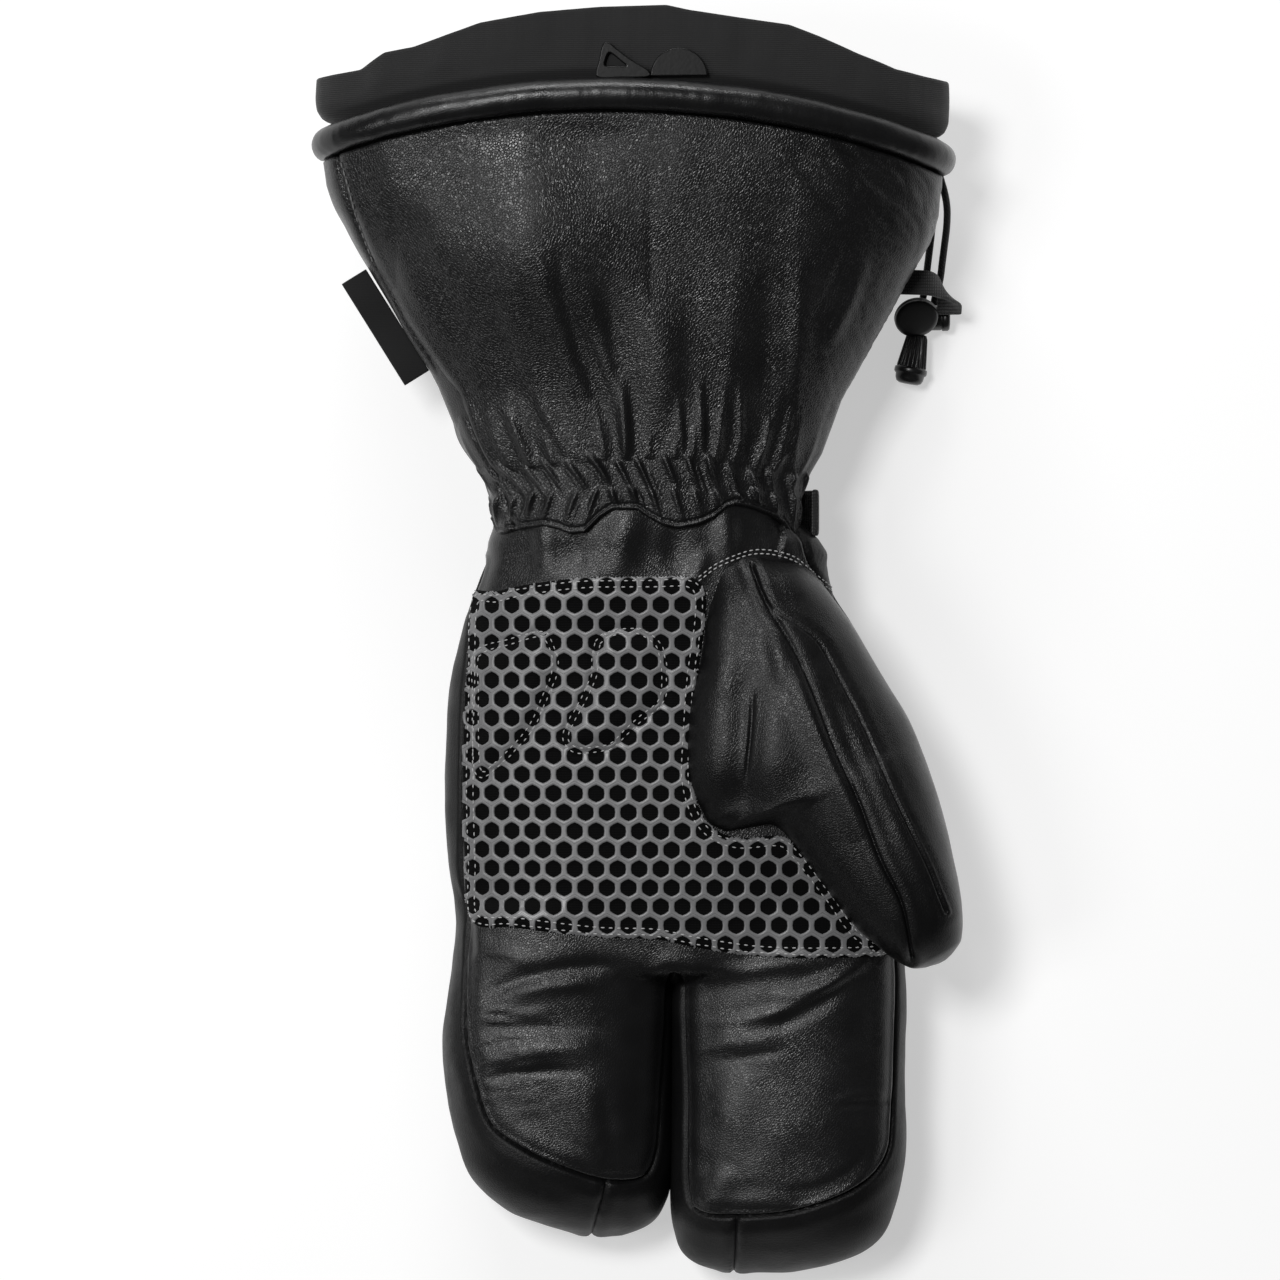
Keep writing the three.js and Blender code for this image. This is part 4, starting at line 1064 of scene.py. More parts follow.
# at, outer, inner, bottom, top
OUTER_ROWS = [
    (-0.256, 0.952, 0, -0.06, 0.93),
    (0, 0.974, 0, -0.06, 0.92),
    (0.27, 1, 0, -0.06, 0.9),
    (0.545, 0.969, 0, -0.06, 0.87),
    (0.703, 0.916, 0.004, -0.05, 0.84),
    (0.816, 0.837, 0.013, -0.02, 0.78),
    (0.898, 0.722, 0.04, 0.03, 0.69),
    (0.959, 0.537, 0.09, 0.1, 0.56),
    (1, 0.38, 0.2, 0.22, 0.42),
]
INNER_ROWS = [
    (-0.224, 0.983, 0, -0.06, 0.93),
    (0, 0.996, 0, -0.06, 0.93),
    (0.313, 1, 0, -0.06, 0.91),
    (0.558, 0.998, 0, -0.06, 0.89),
    (0.716, 0.974, 0, -0.05, 0.86),
    (0.795, 0.95, 0, -0.02, 0.82),
    (0.865, 0.9, 0.01, 0.02, 0.75),
    (0.931, 0.8, 0.04, 0.08, 0.64),
    (0.974, 0.64, 0.1, 0.15, 0.53),
    (1, 0.5, 0.2, 0.22, 0.42),
]
print("hand", HAND_WIDTH, "mm wide over its padding")

# %% [markdown]
# ## Seams and folds of the hand
# One long seam runs round both stalls, two short ones join the strips at the tips, and two pads lie under
# the grip patch. They could be marked on the mesh. As places of the photo they can be checked on it.

# %% Hand seams and folds
PALM_SEAM = [
    (492, 490), (486, 560), (474, 600), (470, 640), (464, 720), (462, 800), (461, 870), (462, 925),
    (464, 997), (466, 1045), (476, 1089), (491, 1127), (527, 1152), (566, 1169), (604, 1181), (638, 1180),
    (653, 1166), (660, 1130), (665, 1045), (666, 997), (669, 979), (675, 973), (681, 980), (683, 992),
    (684, 1070), (685, 1142), (688, 1196), (703, 1213), (737, 1216), (785, 1213), (822, 1203), (851, 1191),
    (875, 1174), (890, 1150), (894, 1118), (897, 1070), (899, 973), (897, 900), (893, 800), (880, 700),
    (850, 625), (830, 593), (811, 565), (796, 541), (782, 521), (775, 490),
]
OUTER_TIP_SEAM = [(607, 1180), (600, 1208), (591, 1240)]
INNER_TIP_SEAM = [(736, 1210), (735, 1240), (734, 1280)]
LEFT_PAD = [
    (476, 653), (511, 639), (542, 631), (551, 639), (558, 658), (556, 678), (547, 699), (538, 721),
    (526, 739), (502, 764), (483, 778), (476, 771), (474, 739), (474, 694),
]
RIGHT_PAD = [
    (597, 640), (610, 631), (636, 628), (654, 637), (663, 649), (667, 676), (663, 703), (642, 721),
    (629, 733), (611, 749), (583, 753), (572, 751), (563, 739), (569, 721), (581, 699), (592, 674),
    (592, 660),
]
PATCH_OUTLINE = [
    (470, 600), (497, 592), (520, 586), (560, 580), (600, 577), (650, 577), (690, 577), (704, 590),
    (705, 620), (697, 680), (693, 740), (692, 780), (701, 812), (716, 830), (740, 838), (780, 836),
    (800, 850), (833, 893), (860, 930), (890, 953), (824, 958), (757, 956), (694, 947), (654, 939),
    (595, 937), (517, 928), (470, 921), (466, 860), (464, 780), (466, 690),
]

# x0, y0, x1, y1, bow, width, height
HAND_FOLDS = [
    (612, 586, 634, 496, 0, 19, 2.6),
    (543, 506, 548, 584, 0, 13, 2.0),
    (726, 494, 728, 566, 0, 13, 2.0),
    (706, 546, 692, 590, 0, 9, 1.2),
    (575, 530, 580, 575, 0, 10, -0.9),
    (676, 520, 674, 575, 0, 13, -1.1),
    (474, 950, 532, 962, -3, 7, 0.9),
    (480, 996, 650, 970, -13, 9, -1.4),
    (500, 996, 606, 984, -5, 8, 0.9),
    (470, 1010, 530, 1022, 0, 3, -0.4),
    (470, 1018, 540, 1028, 0, 3, 0.4),
    (470, 1030, 560, 1030, -4, 5, -0.7),
    (478, 1062, 600, 1046, -4, 13, 1.7),
    (480, 1048, 540, 1040, -2, 3, -0.4),
    (484, 1078, 590, 1072, -3, 5, -0.6),
    (580, 1030, 600, 1176, -8, 44, 2.8),
    (604, 1085, 616, 1160, 4, 9, -0.9),
    (770, 1000, 872, 956, 7, 8, 2.0),
    (692, 988, 835, 962, -8, 9, 1.2),
    (690, 1022, 850, 972, 16, 6, 0.9),
    (690, 1040, 846, 990, 14, 7, -0.7),
    (690, 1050, 782, 1032, -3, 11, 1.4),
    (716, 1062, 790, 1050, 0, 4, -0.4),
    (718, 1165, 736, 1065, 0, 25, 1.7),
    (836, 1106, 892, 1104, -2, 3, -0.8),
    (836, 1098, 886, 1096, -2, 5, 0.5),
    (700, 1216, 730, 1164, 0, 16, 1.7),
    (767, 1205, 880, 1158, 16, 4, 0.8),
    (776, 1192, 872, 1148, 14, 6, -0.7),
    (740, 1080, 800, 1150, 6, 30, 0.5),
    (450, 880, 470, 960, -3, 6, -1.2),
]

# row, left, right: how far the hand's sides stand out from the plain form, by rows of the photo
HAND_TRIM = [
    (500, 0.6, 0),
    (526, 1.2, 2.0),
    (544, 1.4, 4.2),
    (553, 1.0, 2.2),
    (566, 0.5, 0),
    (860, 0, 0),
    (900, -1.5, 0),
    (924, -2.7, 0),
    (960, -2.2, -1.3),
    (1000, -1.5, -1.2),
    (1040, -0.9, -1.4),
    (1092, -0.7, -1.7),
    (1140, -1.3, -1.2),
    (1180, -0.3, -0.7),
    (1212, -1.0, -1.0),
    (1240, 0.5, 0.3),
]
print(len(HAND_FOLDS), "folds on the hand")


# %% [markdown]
# ## Rings of the palm and the stalls
# The palm runs from the neck inside the gauntlet to the crotch between the stalls, and each stall from
# the palm's middle to its tip. Three stretched spheres would be quicker, but not padded alike. Rings
# through the tables give the real widths at every place.

# %% Hand rings
RING_SIDES = 96
PALM_STEPS = 120
STALL_STEPS, TIP_STEPS = 40, 14
TIP_FROM = 0.9  # the share of a stall's length from which its rings lie closer
NECK_STEPS = (NECK_LENGTH, 2.0, -4.2)


def oval_rings(y, left, right, bottom, top):
    angle = np.arange(RING_SIDES) / RING_SIDES * 2 * np.pi
    x, z, _, _ = section(angle[None], left[:, None], right[:, None], bottom[:, None], top[:, None])
    rings = np.stack([x, np.broadcast_to(y[:, None], x.shape), z], axis=-1)
    rings[..., 2] = np.maximum(rings[..., 2], 0)
    return rings


def palm_rings(inset=0.0):
    at = np.linspace(PALM_ROWS[0][0], PALM_ROWS[-1][0], PALM_STEPS)
    left, right, bottom, top = read_table(PALM_ROWS, at)
    fit = LEATHER_WALL + FIT
    neck_y = np.array(NECK_STEPS)
    y = np.concatenate([neck_y, -PALM_LENGTH * at])
    neck = np.ones(len(neck_y))
    left = np.concatenate([(WRIST_OFFSET - WRIST_WIDTH / 2 + fit) * neck, -left * HAND_WIDTH])
    right = np.concatenate([(WRIST_OFFSET + WRIST_WIDTH / 2 - fit) * neck, right * HAND_WIDTH])
    bottom = np.concatenate([(WRIST_LIFT + fit) * neck, bottom * PALM_DEPTH])
    top = np.concatenate([(WRIST_LIFT + WRIST_DEPTH - fit) * neck, top * PALM_DEPTH])
    return oval_rings(y, left + inset, right - inset, bottom + inset, top - inset)


def stall_rings(rows, side, width, length, gap, inset=0.0):
    """side is -1 for the stall on the little finger's side of the gap and 1 for the other."""
    tip = np.linspace(TIP_FROM, 1, TIP_STEPS)[1:]
    at = np.concatenate([np.linspace(rows[0][0], TIP_FROM, STALL_STEPS), tip])
    outer, inner, bottom, top = read_table(rows, at)
    outer = CROTCH + side * (gap / 2 + outer * width)
    inner = CROTCH + side * (gap / 2 + inner * width)
    left, right = np.minimum(outer, inner), np.maximum(outer, inner)
    y = -PALM_LENGTH - at * (length - inset)
    return oval_rings(y, left + inset, right - inset, bottom * PALM_DEPTH + inset, top * PALM_DEPTH - inset)


print("palm", palm_rings().shape[:2], "rings and sides")

# %% [markdown]
# ## Hand body
# Palm and stalls become one skin. A boolean union would leave sharp edges where they meet. A voxel
# remesh melts them together, and smoothing takes its steps out. The stalls are built apart and then
# brought together, because the remesh would close the slit.

# %% Hand body
VOXEL = 1.1
HAND_ROUNDING, NORMAL_ROUNDING = 8, 4  # rounds of smoothing, for the points and for their directions
GAP_REACH = 20  # how far from the slit the stalls are bent towards each other


def hand_body(gap, voxel, inset=0.0):
    """The palm and both stalls as one remeshed body: its points and triangles."""
    lofts = [
        palm_rings(inset),
        stall_rings(OUTER_ROWS, -1, OUTER_WIDTH, OUTER_LENGTH, gap, inset),
        stall_rings(INNER_ROWS, 1, INNER_WIDTH, INNER_LENGTH, gap, inset),
    ]
    points, faces = np.empty((0, 3)), np.empty((0, 3), dtype=int)
    for rings in lofts:
        more, more_faces = closed_loft(rings, len(points))
        points, faces = np.concatenate([points, more]), np.concatenate([faces, more_faces])
    raw = make_mesh("hand_lofts", points, faces, leathers["palm leather"])
    remesh = raw.modifiers.new("remesh", "REMESH")
    remesh.mode = "VOXEL"
    remesh.voxel_size = voxel * MM
    shaped = raw.evaluated_get(bpy.context.evaluated_depsgraph_get()).to_mesh()
    shaped.calc_loop_triangles()
    places = np.empty(3 * len(shaped.vertices))
    shaped.vertices.foreach_get("co", places)
    triangles = np.empty(3 * len(shaped.loop_triangles), dtype=np.int32)
    shaped.loop_triangles.foreach_get("vertices", triangles)
    bpy.data.objects.remove(raw)
    return places.reshape(-1, 3) / MM - WRIST, triangles.reshape(-1, 3).astype(int)


def close_gap(points):
    """Brings the stalls together after the remesh."""
    near = 1 - smooth_step(0, GAP_REACH, np.abs(points[:, 0] - CROTCH))
    move = (BUILD_GAP - STALL_GAP) / 2 * near
    move *= smooth_step(-PALM_LENGTH + 1, -PALM_LENGTH - 9, points[:, 1])
    moved = points.copy()
    moved[:, 0] -= np.sign(points[:, 0] - CROTCH) * move
    return moved


hand_points, hand_triangles = hand_body(BUILD_GAP, VOXEL)
hand_points = close_gap(rounded(hand_points, hand_triangles, HAND_ROUNDING))
hand_normals = mesh_normals(hand_points, hand_triangles)
hand_normals = rounded(hand_normals, hand_triangles, NORMAL_ROUNDING)
if (hand_normals[:, 2] * (hand_points[:, 2] - PALM_DEPTH / 2)).sum() < 0:
    hand_normals = -hand_normals
hand_normals /= np.linalg.norm(hand_normals, axis=1, keepdims=True)
print("hand", len(hand_points), "points")

# %% [markdown]
# ## Where the seams run
# A seam divides the skin of the hand: inside the palm's outline, below the back's level, or past a line
# at a finger tip. Faces could be picked by hand. A field for each seam, in millimetres and zero on the
# seam itself, tells both where to cut and how deep the groove is.

# %% Seam fields
MIDDLE_LEVEL = 24  # the palm's leather stays above this height
BACK_SEAM = 9.0  # the height of the back's seam
TIP_LEVEL = 30.0
palm_outline = through(PALM_SEAM, 320, closed=True)
left_pad = through(LEFT_PAD, 70, closed=True)
right_pad = through(RIGHT_PAD, 70, closed=True)
patch_outline = through(PATCH_OUTLINE, 200, closed=True)


def palm_field(points):
    """Above zero on the palm's leather: inside its outline and on the upper half."""
    return np.minimum(inside_outline(in_photo(points), palm_outline), points[:, 2] - MIDDLE_LEVEL)


def back_field(points):
    return BACK_SEAM - points[:, 2]


def tip_field(points, seam):
    """Millimetres in X past a seam at a finger tip."""
    line = from_photo(seam, TIP_LEVEL)
    order = np.argsort(line[:, 1])
    return points[:, 0] - np.interp(points[:, 1], line[order, 1], line[order, 0])


print("palm leather over", (palm_field(hand_points) > 0).sum(), "of", len(hand_points), "points")

# %% [markdown]
# ## Relief of the hand
# Padded leather swells beside its seams, is quilted over the two pads and creases over the fingers. It
# could be sculpted. Here it is a sum in millimetres of forms placed in the photo.

# %% Hand relief
CRUMPLED_AT = np.array([500, 1040])  # where the outer stall's leather is finely crumpled, in the photo
CRUMPLED_REACH = np.array([60, 70])
TRIM_LEFT, TRIM_RIGHT = 580, 780  # the photo's columns outside which the outline is trimmed
TIP_SEAMS_FROM = 50  # how far past the palm the seams at the finger tips begin


def seam_relief(distance, depth, width, swell, reach):
    """A groove at a seam, and a swelling beside it."""
    away = np.abs(distance)
    return swell * bell(away - reach, 0.7 * reach) - depth * bell(away, width)


def hand_relief(points, normals):
    """Millimetres that the hand's leather stands out from its rounded body."""
    places = in_photo(points)
    upper = smooth_step(0.1, 0.5, normals[:, 2])
    past_seam = palm_field(points)
    total = seam_relief(past_seam, 1.3, 0.5, 0.5, 4.0)
    total += 0.35 * bell(past_seam - 1.0, 0.6) + 0.12 * bell(past_seam + 1.3, 0.7)
    low = smooth_step(MIDDLE_LEVEL, 14, points[:, 2])
    total += low * seam_relief(back_field(points), 1.0, 0.9, 0.4, 4.0)
    for seam in (OUTER_TIP_SEAM, INNER_TIP_SEAM):
        near_tip = (past_seam < 0) & (points[:, 1] < -PALM_LENGTH - TIP_SEAMS_FROM)
        near_tip = near_tip * smooth_step(4, 10, points[:, 2])
        total += near_tip * seam_relief(tip_field(points, seam), 0.9, 0.6, 0.3, 3.0)
    total += upper * folds(points, HAND_FOLDS)
    for outline in (left_pad, right_pad):
        inside = inside_outline(places, outline)
        total += upper * (1.3 * smooth_step(0.3, 6, inside) - 0.5 * bell(inside, 0.9))
    left, right = read_table(HAND_TRIM, places[:, 1])
    total += (places[:, 0] < TRIM_LEFT) * left * np.clip(-normals[:, 0], 0, 1) ** 1.5
    total += (places[:, 0] > TRIM_RIGHT) * right * np.clip(normals[:, 0], 0, 1) ** 1.5
    on_patch = smooth_step(-1, 1, inside_outline(places, patch_outline)) * upper
    calm = smooth_step(0, 9, points[:, 2])
    soft = 0.4 * noise(points, (24, 24, 24)) + 0.14 * noise(points + 40, (9, 7, 9))
    crumpled = np.exp(-(((places - CRUMPLED_AT) / CRUMPLED_REACH) ** 2).sum(axis=1)) * upper
    soft += 0.3 * crumpled * creased(points, (13, 2.6, 9))
    total += calm * soft * (1 - 0.55 * on_patch)
    return total


def dressed(piece, extra=0.0):
    """The final points of a piece whose array holds places and directions."""
    points, normals = piece[:, :3], piece[:, 3:]
    normals = normals / np.linalg.norm(normals, axis=1, keepdims=True)
    final = points + normals * (hand_relief(points, normals) + extra)[:, None]
    final[:, 2] = np.maximum(final[:, 2], 0)
    return final


print("relief of the hand up to", round(float(hand_relief(hand_points, hand_normals).max()), 1), "mm")

# %% [markdown]
# ## Panels of the hand
# The real leather is cut into panels and sewn edge to edge. Whole faces could be shared out, but the
# seams would be jagged. Triangles are cut along each seam, and on six lines beside the palm's seam.

# %% Panels of the hand
SEAM_STEPS = (-2.6, -1.3, -0.6, 0.6, 1.2, 2.2)  # millimetres beside the palm's seam
body, body_triangles = np.concatenate([hand_points, hand_normals], axis=1), hand_triangles
for beside in SEAM_STEPS:
    body, body_triangles, _ = split_mesh(body, body_triangles, palm_field(body) - beside)
body, body_triangles, on_palm = split_mesh(body, body_triangles, palm_field(body))
palm_part = keep_faces(body, body_triangles, on_palm)
rest, rest_triangles, _ = keep_faces(body, body_triangles, ~on_palm)
rest, rest_triangles, on_back = split_mesh(rest, rest_triangles, back_field(rest))
back_part = keep_faces(rest, rest_triangles, on_back)
strip, strip_triangles, _ = keep_faces(rest, rest_triangles, ~on_back)


def strip_field(points, seam):
    """Past the seam at a finger tip, or past the middle line at the wrist's end of the hand."""
    wrist_end = points[:, 1] > -PALM_LENGTH / 2
    return np.where(wrist_end, points[:, 0] - WRIST_OFFSET, tip_field(points, seam))


strip, strip_triangles, past_outer = split_mesh(strip, strip_triangles, strip_field(strip, OUTER_TIP_SEAM))
outer_part = keep_faces(strip, strip_triangles, ~past_outer)
inner, inner_triangles, _ = keep_faces(strip, strip_triangles, past_outer)
inner, inner_triangles, past_inner = split_mesh(inner, inner_triangles, strip_field(inner, INNER_TIP_SEAM))
between_part = keep_faces(inner, inner_triangles, ~past_inner)
inner_part = keep_faces(inner, inner_triangles, past_inner)
print("panels of", [len(part[1]) for part in (palm_part, back_part, outer_part, between_part, inner_part)])

# %% [markdown]
# ## Pieces of the hand
# Each panel gets the relief and its own leather, and is open at the neck inside the gauntlet. Modifiers
# could raise it live. The points are moved once, which is exact at the seams.

# %% Hand pieces
NECK_EDGE = NECK_LENGTH - 1.5  # the neck is open past this, inside the gauntlet


def hand_piece(name, part, material):
    points, faces, _ = part
    final = dressed(points)
    open_neck = (final[faces][:, :, 1] < NECK_EDGE).all(axis=1)
    final, faces, _ = keep_faces(final, faces, open_neck)
    return make_mesh(name, final, faces, material)


palm = hand_piece("palm_leather_piece", palm_part, leathers["palm leather"])
outer_strip = hand_piece("outer_strip_piece", outer_part, leathers["side leather"])
between_strip = hand_piece("fourchette_piece", between_part, leathers["side leather"])
inner_strip = hand_piece("inner_strip_piece", inner_part, leathers["side leather"])
back = hand_piece("back_piece", back_part, leathers["back leather"])

# %% [markdown]
# ## Lining
# A fleece lining fills the hand's inside. A copy of the skin moved inwards would keep all folds. The same
# rings, set in by the padding and remeshed more coarsely, give a plain inner form.

# %% Lining
LINING_VOXEL = 2.6
LINING_STRETCH = 20  # how far from the hand's end the lining is drawn out into the wrist
lining_points, lining_triangles = hand_body(STALL_GAP, LINING_VOXEL, inset=PAD_WALL)
lining_points[:, 1] += NECK_LENGTH * smooth_step(-LINING_STRETCH, 0, lining_points[:, 1])
open_end = (lining_points[lining_triangles][:, :, 1] < 2 * NECK_LENGTH - 3).all(axis=1)
lining_points, lining_triangles, _ = keep_faces(lining_points, lining_triangles, open_end)
hand_lining = make_mesh("hand_lining", lining_points, lining_triangles[:, ::-1], lining)

# %% [markdown]
# ## Places on a surface
# Threads and the net lie on leather that is already shaped. Shrinkwrap modifiers could press them on.
# Rays from the camera through places of the photo find the exact points, so a seam lies where it is seen.

# %% Places on a surface
def surface_of(*pieces):
    """A search tree over pieces, in millimetres from the wrist seam."""
    points, faces = [], []
    for piece in pieces:
        start = len(points)
        points += ((np.array([v.co[:] for v in piece.data.vertices]) / MM) - WRIST).tolist()
        faces += [[v + start for v in polygon.vertices] for polygon in piece.data.polygons]
    return BVHTree.FromPolygons(points, faces)


def seen_at(tree, places, lift=0.0):
    """Where the camera's rays through places of the photo meet a surface, lifted off it."""
    eye = Vector(CAMERA - WRIST)
    found = []
    for target in from_photo(places, 0.0):
        hit, normal, _, _ = tree.ray_cast(eye, (Vector(target) - eye).normalized())
        if hit is not None:
            normal = normal if normal.z > 0 else -normal
            found.append(hit + normal * lift)
    return np.array(found)


print("rays start at", np.round(CAMERA, 1), "mm")

# %% [markdown]
# ## Running node groups
# Stitches and the net's cells are small things repeated by the hundred. They could be copied in a loop.
# A node group lays them out as instances, is run once and leaves one plain mesh for each kind.

# %% Node groups
def group_with(name, inputs):
    """A geometry node group with named inputs, and its input and output nodes."""
    tree = bpy.data.node_groups.new(name, "GeometryNodeTree")
    tree.interface.new_socket("Geometry", in_out="INPUT", socket_type="NodeSocketGeometry")
    tree.interface.new_socket("Geometry", in_out="OUTPUT", socket_type="NodeSocketGeometry")
    for input_name, kind in inputs.items():
        tree.interface.new_socket(input_name, in_out="INPUT", socket_type=kind)
    return tree, tree.nodes.new("NodeGroupInput").outputs, tree.nodes.new("NodeGroupOutput").inputs


def run_group(name, base, tree, values):
    """Runs a node group on a base mesh and returns the plain result as a new object."""
    modifier = base.modifiers.new(tree.name, "NODES")
    modifier.node_group = tree
    for item in tree.interface.items_tree:
        if item.name in values:
            modifier[item.identifier] = values[item.name]
    shaped = base.evaluated_get(bpy.context.evaluated_depsgraph_get())
    mesh = bpy.data.meshes.new_from_object(shaped)
    bpy.data.objects.remove(base)
    mesh.name = name
    piece = bpy.data.objects.new(name, mesh)
    bpy.context.scene.collection.objects.link(piece)
    print(name, len(mesh.vertices), "points")
    return piece


def paint_result(tree, geometry, material, result):
    """Ends a group: the geometry smooth and in one finish."""
    smooth = add_node(tree, "GeometryNodeSetShadeSmooth", {"Geometry": geometry})
    values = {"Geometry": smooth.outputs[0], "Material": material}
    painted = add_node(tree, "GeometryNodeSetMaterial", values)
    tree.links.new(painted.outputs[0], result[0])


print("node groups run once each")

# %% [markdown]
# ## Stitches
# A lockstitch shows as a row of short rounded threads, a little apart. A displacement map could fake
# them. Each stitch is a stretched ball turned along its line, so it catches the light as thread does.

# %% Stitches
def stitch_group():
    """Puts a short rounded stitch at every step along the base's lines."""
    floats = {name: "NodeSocketFloat" for name in ("Pitch", "Length", "Thickness")}
    tree, given, result = group_with("stitches", {**floats, "Thread": "NodeSocketMaterial"})
    curve = add_node(tree, "GeometryNodeMeshToCurve", {"Mesh": given["Geometry"]})
    steps = add_node(tree, "GeometryNodeResampleCurve", {"Curve": curve.outputs[0]})
    steps.mode = "LENGTH"
    tree.links.new(given["Pitch"], steps.inputs["Length"])
    ball = add_node(tree, "GeometryNodeMeshUVSphere", {"Segments": 8, "Rings": 6, "Radius": 0.5})
    lengths = {"X": given["Length"], "Y": given["Thickness"], "Z": given["Thickness"]}
    size = add_node(tree, "ShaderNodeCombineXYZ", lengths)
    stretched = {"Geometry": ball.outputs["Mesh"], "Scale": size.outputs[0]}
    stitch = add_node(tree, "GeometryNodeTransform", stretched)
    tangent = add_node(tree, "GeometryNodeInputTangent")
    turn = add_node(tree, "FunctionNodeAlignRotationToVector", {"Vector": tangent.outputs[0]}, axis="X")
    placed = add_node(
        tree,
        "GeometryNodeInstanceOnPoints",
        {"Points": steps.outputs[0], "Instance": stitch.outputs[0], "Rotation": turn.outputs[0]},
    )
    real = add_node(tree, "GeometryNodeRealizeInstances", {"Geometry": placed.outputs[0]})
    paint_result(tree, real.outputs[0], given["Thread"], result)
    return tree


STITCHES = stitch_group()
print("stitches laid out by", len(STITCHES.nodes), "nodes")


def line_object(name, lines, closed=False):
    """Lines in millimetres as the edges of one mesh."""
    points, edges = [], []
    for line in lines:
        start = len(points)
        points += to_frame(line).tolist()
        edges += [(i, i + 1) for i in range(start, len(points) - 1)]
        if closed:
            edges.append((len(points) - 1, start))
    mesh = bpy.data.meshes.new(name)
    mesh.from_pydata(points, edges, [])
    base = bpy.data.objects.new(name, mesh)
    bpy.context.scene.collection.objects.link(base)
    return base


def stitches(name, lines, thread, pitch=2.7, length=2.0, thickness=0.55, closed=False):
    base = line_object(name + "_line", [line for line in lines if len(line) > 2], closed)
    values = {"Pitch": pitch * MM, "Length": length * MM, "Thickness": thickness * MM, "Thread": thread}
    return run_group(name, base, STITCHES, values)


# %% [markdown]
# ## Grip fabric
# The patch is thin black woven fabric, sewn flat on the palm. It could be a sheet pressed on by a
# modifier. It is cut out of the palm's own triangles and lifted, so it follows the leather exactly.

# %% Grip fabric
PATCH_LIFT = 0.9


def patch_piece():
    points, faces, _ = palm_part
    points, faces, inside = split_mesh(points, faces, inside_outline(in_photo(points), patch_outline))
    points, faces, _ = keep_faces(points, faces, inside)
    edge = inside_outline(in_photo(points), patch_outline)
    final = dressed(points, PATCH_LIFT * smooth_step(-0.6, 1.0, edge))
    return make_mesh("grip_fabric_piece", final, faces, grip_fabric)


patch = patch_piece()
patch_surface = surface_of(patch)

# %% [markdown]
# ## One cell of the net
# The grip is a thick net of silver-grey silicone with rounded six-sided holes. A bump texture would stay
# flat at the patch's edge. One real cell is built, with a rounded inner edge, to be repeated.

# %% Net cell
CELL_PITCH = 6.4  # between the middles of cells in a row
CELL_RIB = 1.6
HOLE_ROUNDING = 0.93  # how much nearer the hole's corners lie than a sharp six-sided hole's
NET_HEIGHT = 0.5


def cell_ring():
    corner = np.arange(6) * np.pi / 3 + np.pi / 6
    outer = CELL_PITCH / math.sqrt(3)
    hole = (CELL_PITCH - CELL_RIB) / math.sqrt(3)
    rings = [(outer, 1.0), (hole + 0.42, 1.0), (hole + 0.12, 0.8), (hole, 0.3), (hole - 0.02, -0.4)]
    points = []
    for reach, height in rings:
        corners = np.stack([reach * np.cos(corner), reach * np.sin(corner)], axis=1)
        middles = (corners + np.roll(corners, -1, axis=0)) / 2
        if reach < outer:
            corners *= HOLE_ROUNDING
        ring = np.stack([corners, middles], axis=1).reshape(-1, 2)
        points.append(np.column_stack([ring, np.full(12, height * NET_HEIGHT)]))
    mesh = bpy.data.meshes.new("net_cell")
    faces = grid_faces(len(rings), 12)[:, ::-1]
    mesh.from_pydata((np.concatenate(points) * MM).tolist(), [], faces.tolist())
    cell = bpy.data.objects.new("net_cell", mesh)
    bpy.context.scene.collection.objects.link(cell)
    return cell


print("net of cells", CELL_PITCH, "mm apart, with ribs of", CELL_RIB, "mm")

# %% [markdown]
# ## Where the cells lie
# The net is printed on flat fabric, so its cells look narrower where the fabric slopes. A flat grid
# dropped from above would stretch them. The rows are measured along the fabric's own curve instead.

# %% Net places
CELL_ROW = 5.6
NET_LEFT, NET_RIGHT = -56.0, 84.0
NET_TOP, NET_BOTTOM = -10.0, -142.0
NET_MIDDLE = -85.0  # the palm's curve is measured here
NET_START = 10.0  # a cell's middle lies on this line


def cell_places():
    """The cells' middles in plan, and how much each is squeezed where the fabric slopes to the side."""
    x = np.linspace(NET_LEFT, NET_RIGHT, 400)
    height = []
    for place in x:
        hit, _, _, _ = patch_surface.ray_cast(Vector((place, NET_MIDDLE, 200)), Vector((0, 0, -1)))
        height.append(hit.z if hit is not None else np.nan)
    height = np.array(height)
    known = ~np.isnan(height)
    height = np.interp(x, x[known], height[known])
    height = np.convolve(np.pad(height, 12, mode="edge"), np.ones(25) / 25, mode="valid")
    run = np.concatenate([[0], np.cumsum(np.hypot(np.diff(x), np.diff(height)))])
    run -= np.interp(NET_START, x, run)
    places, sizes = [], []
    for number, y in enumerate(np.arange(NET_TOP, NET_BOTTOM, -CELL_ROW)):
        along = np.arange(-20, 20) * CELL_PITCH + (number % 2) * CELL_PITCH / 2
        along = along[(along > run[0]) & (along < run[-1])]
        here = np.interp(along, run, x)
        ahead = np.interp(along + 0.5, run, x)
        for place, squeeze in zip(here, np.clip(2 * (ahead - here), 0.5, 1)):
            places.append((place, y))
            sizes.append(squeeze)
    return np.array(places), np.array(sizes)


net_places, net_squeezes = cell_places()
print(len(net_places), "places for cells")

# %% [markdown]
# ## Laying the net
# The net lies on curved fabric and ends at its edge. A boolean could trim it, slowly. The node group
# drops every point of the cells on the fabric, lifts it by its height, and leaves out what misses.

# %% Net
SEARCH_FROM, SEARCH_REACH = 0.2, 0.3  # metres: where the points drop from, and how far they look


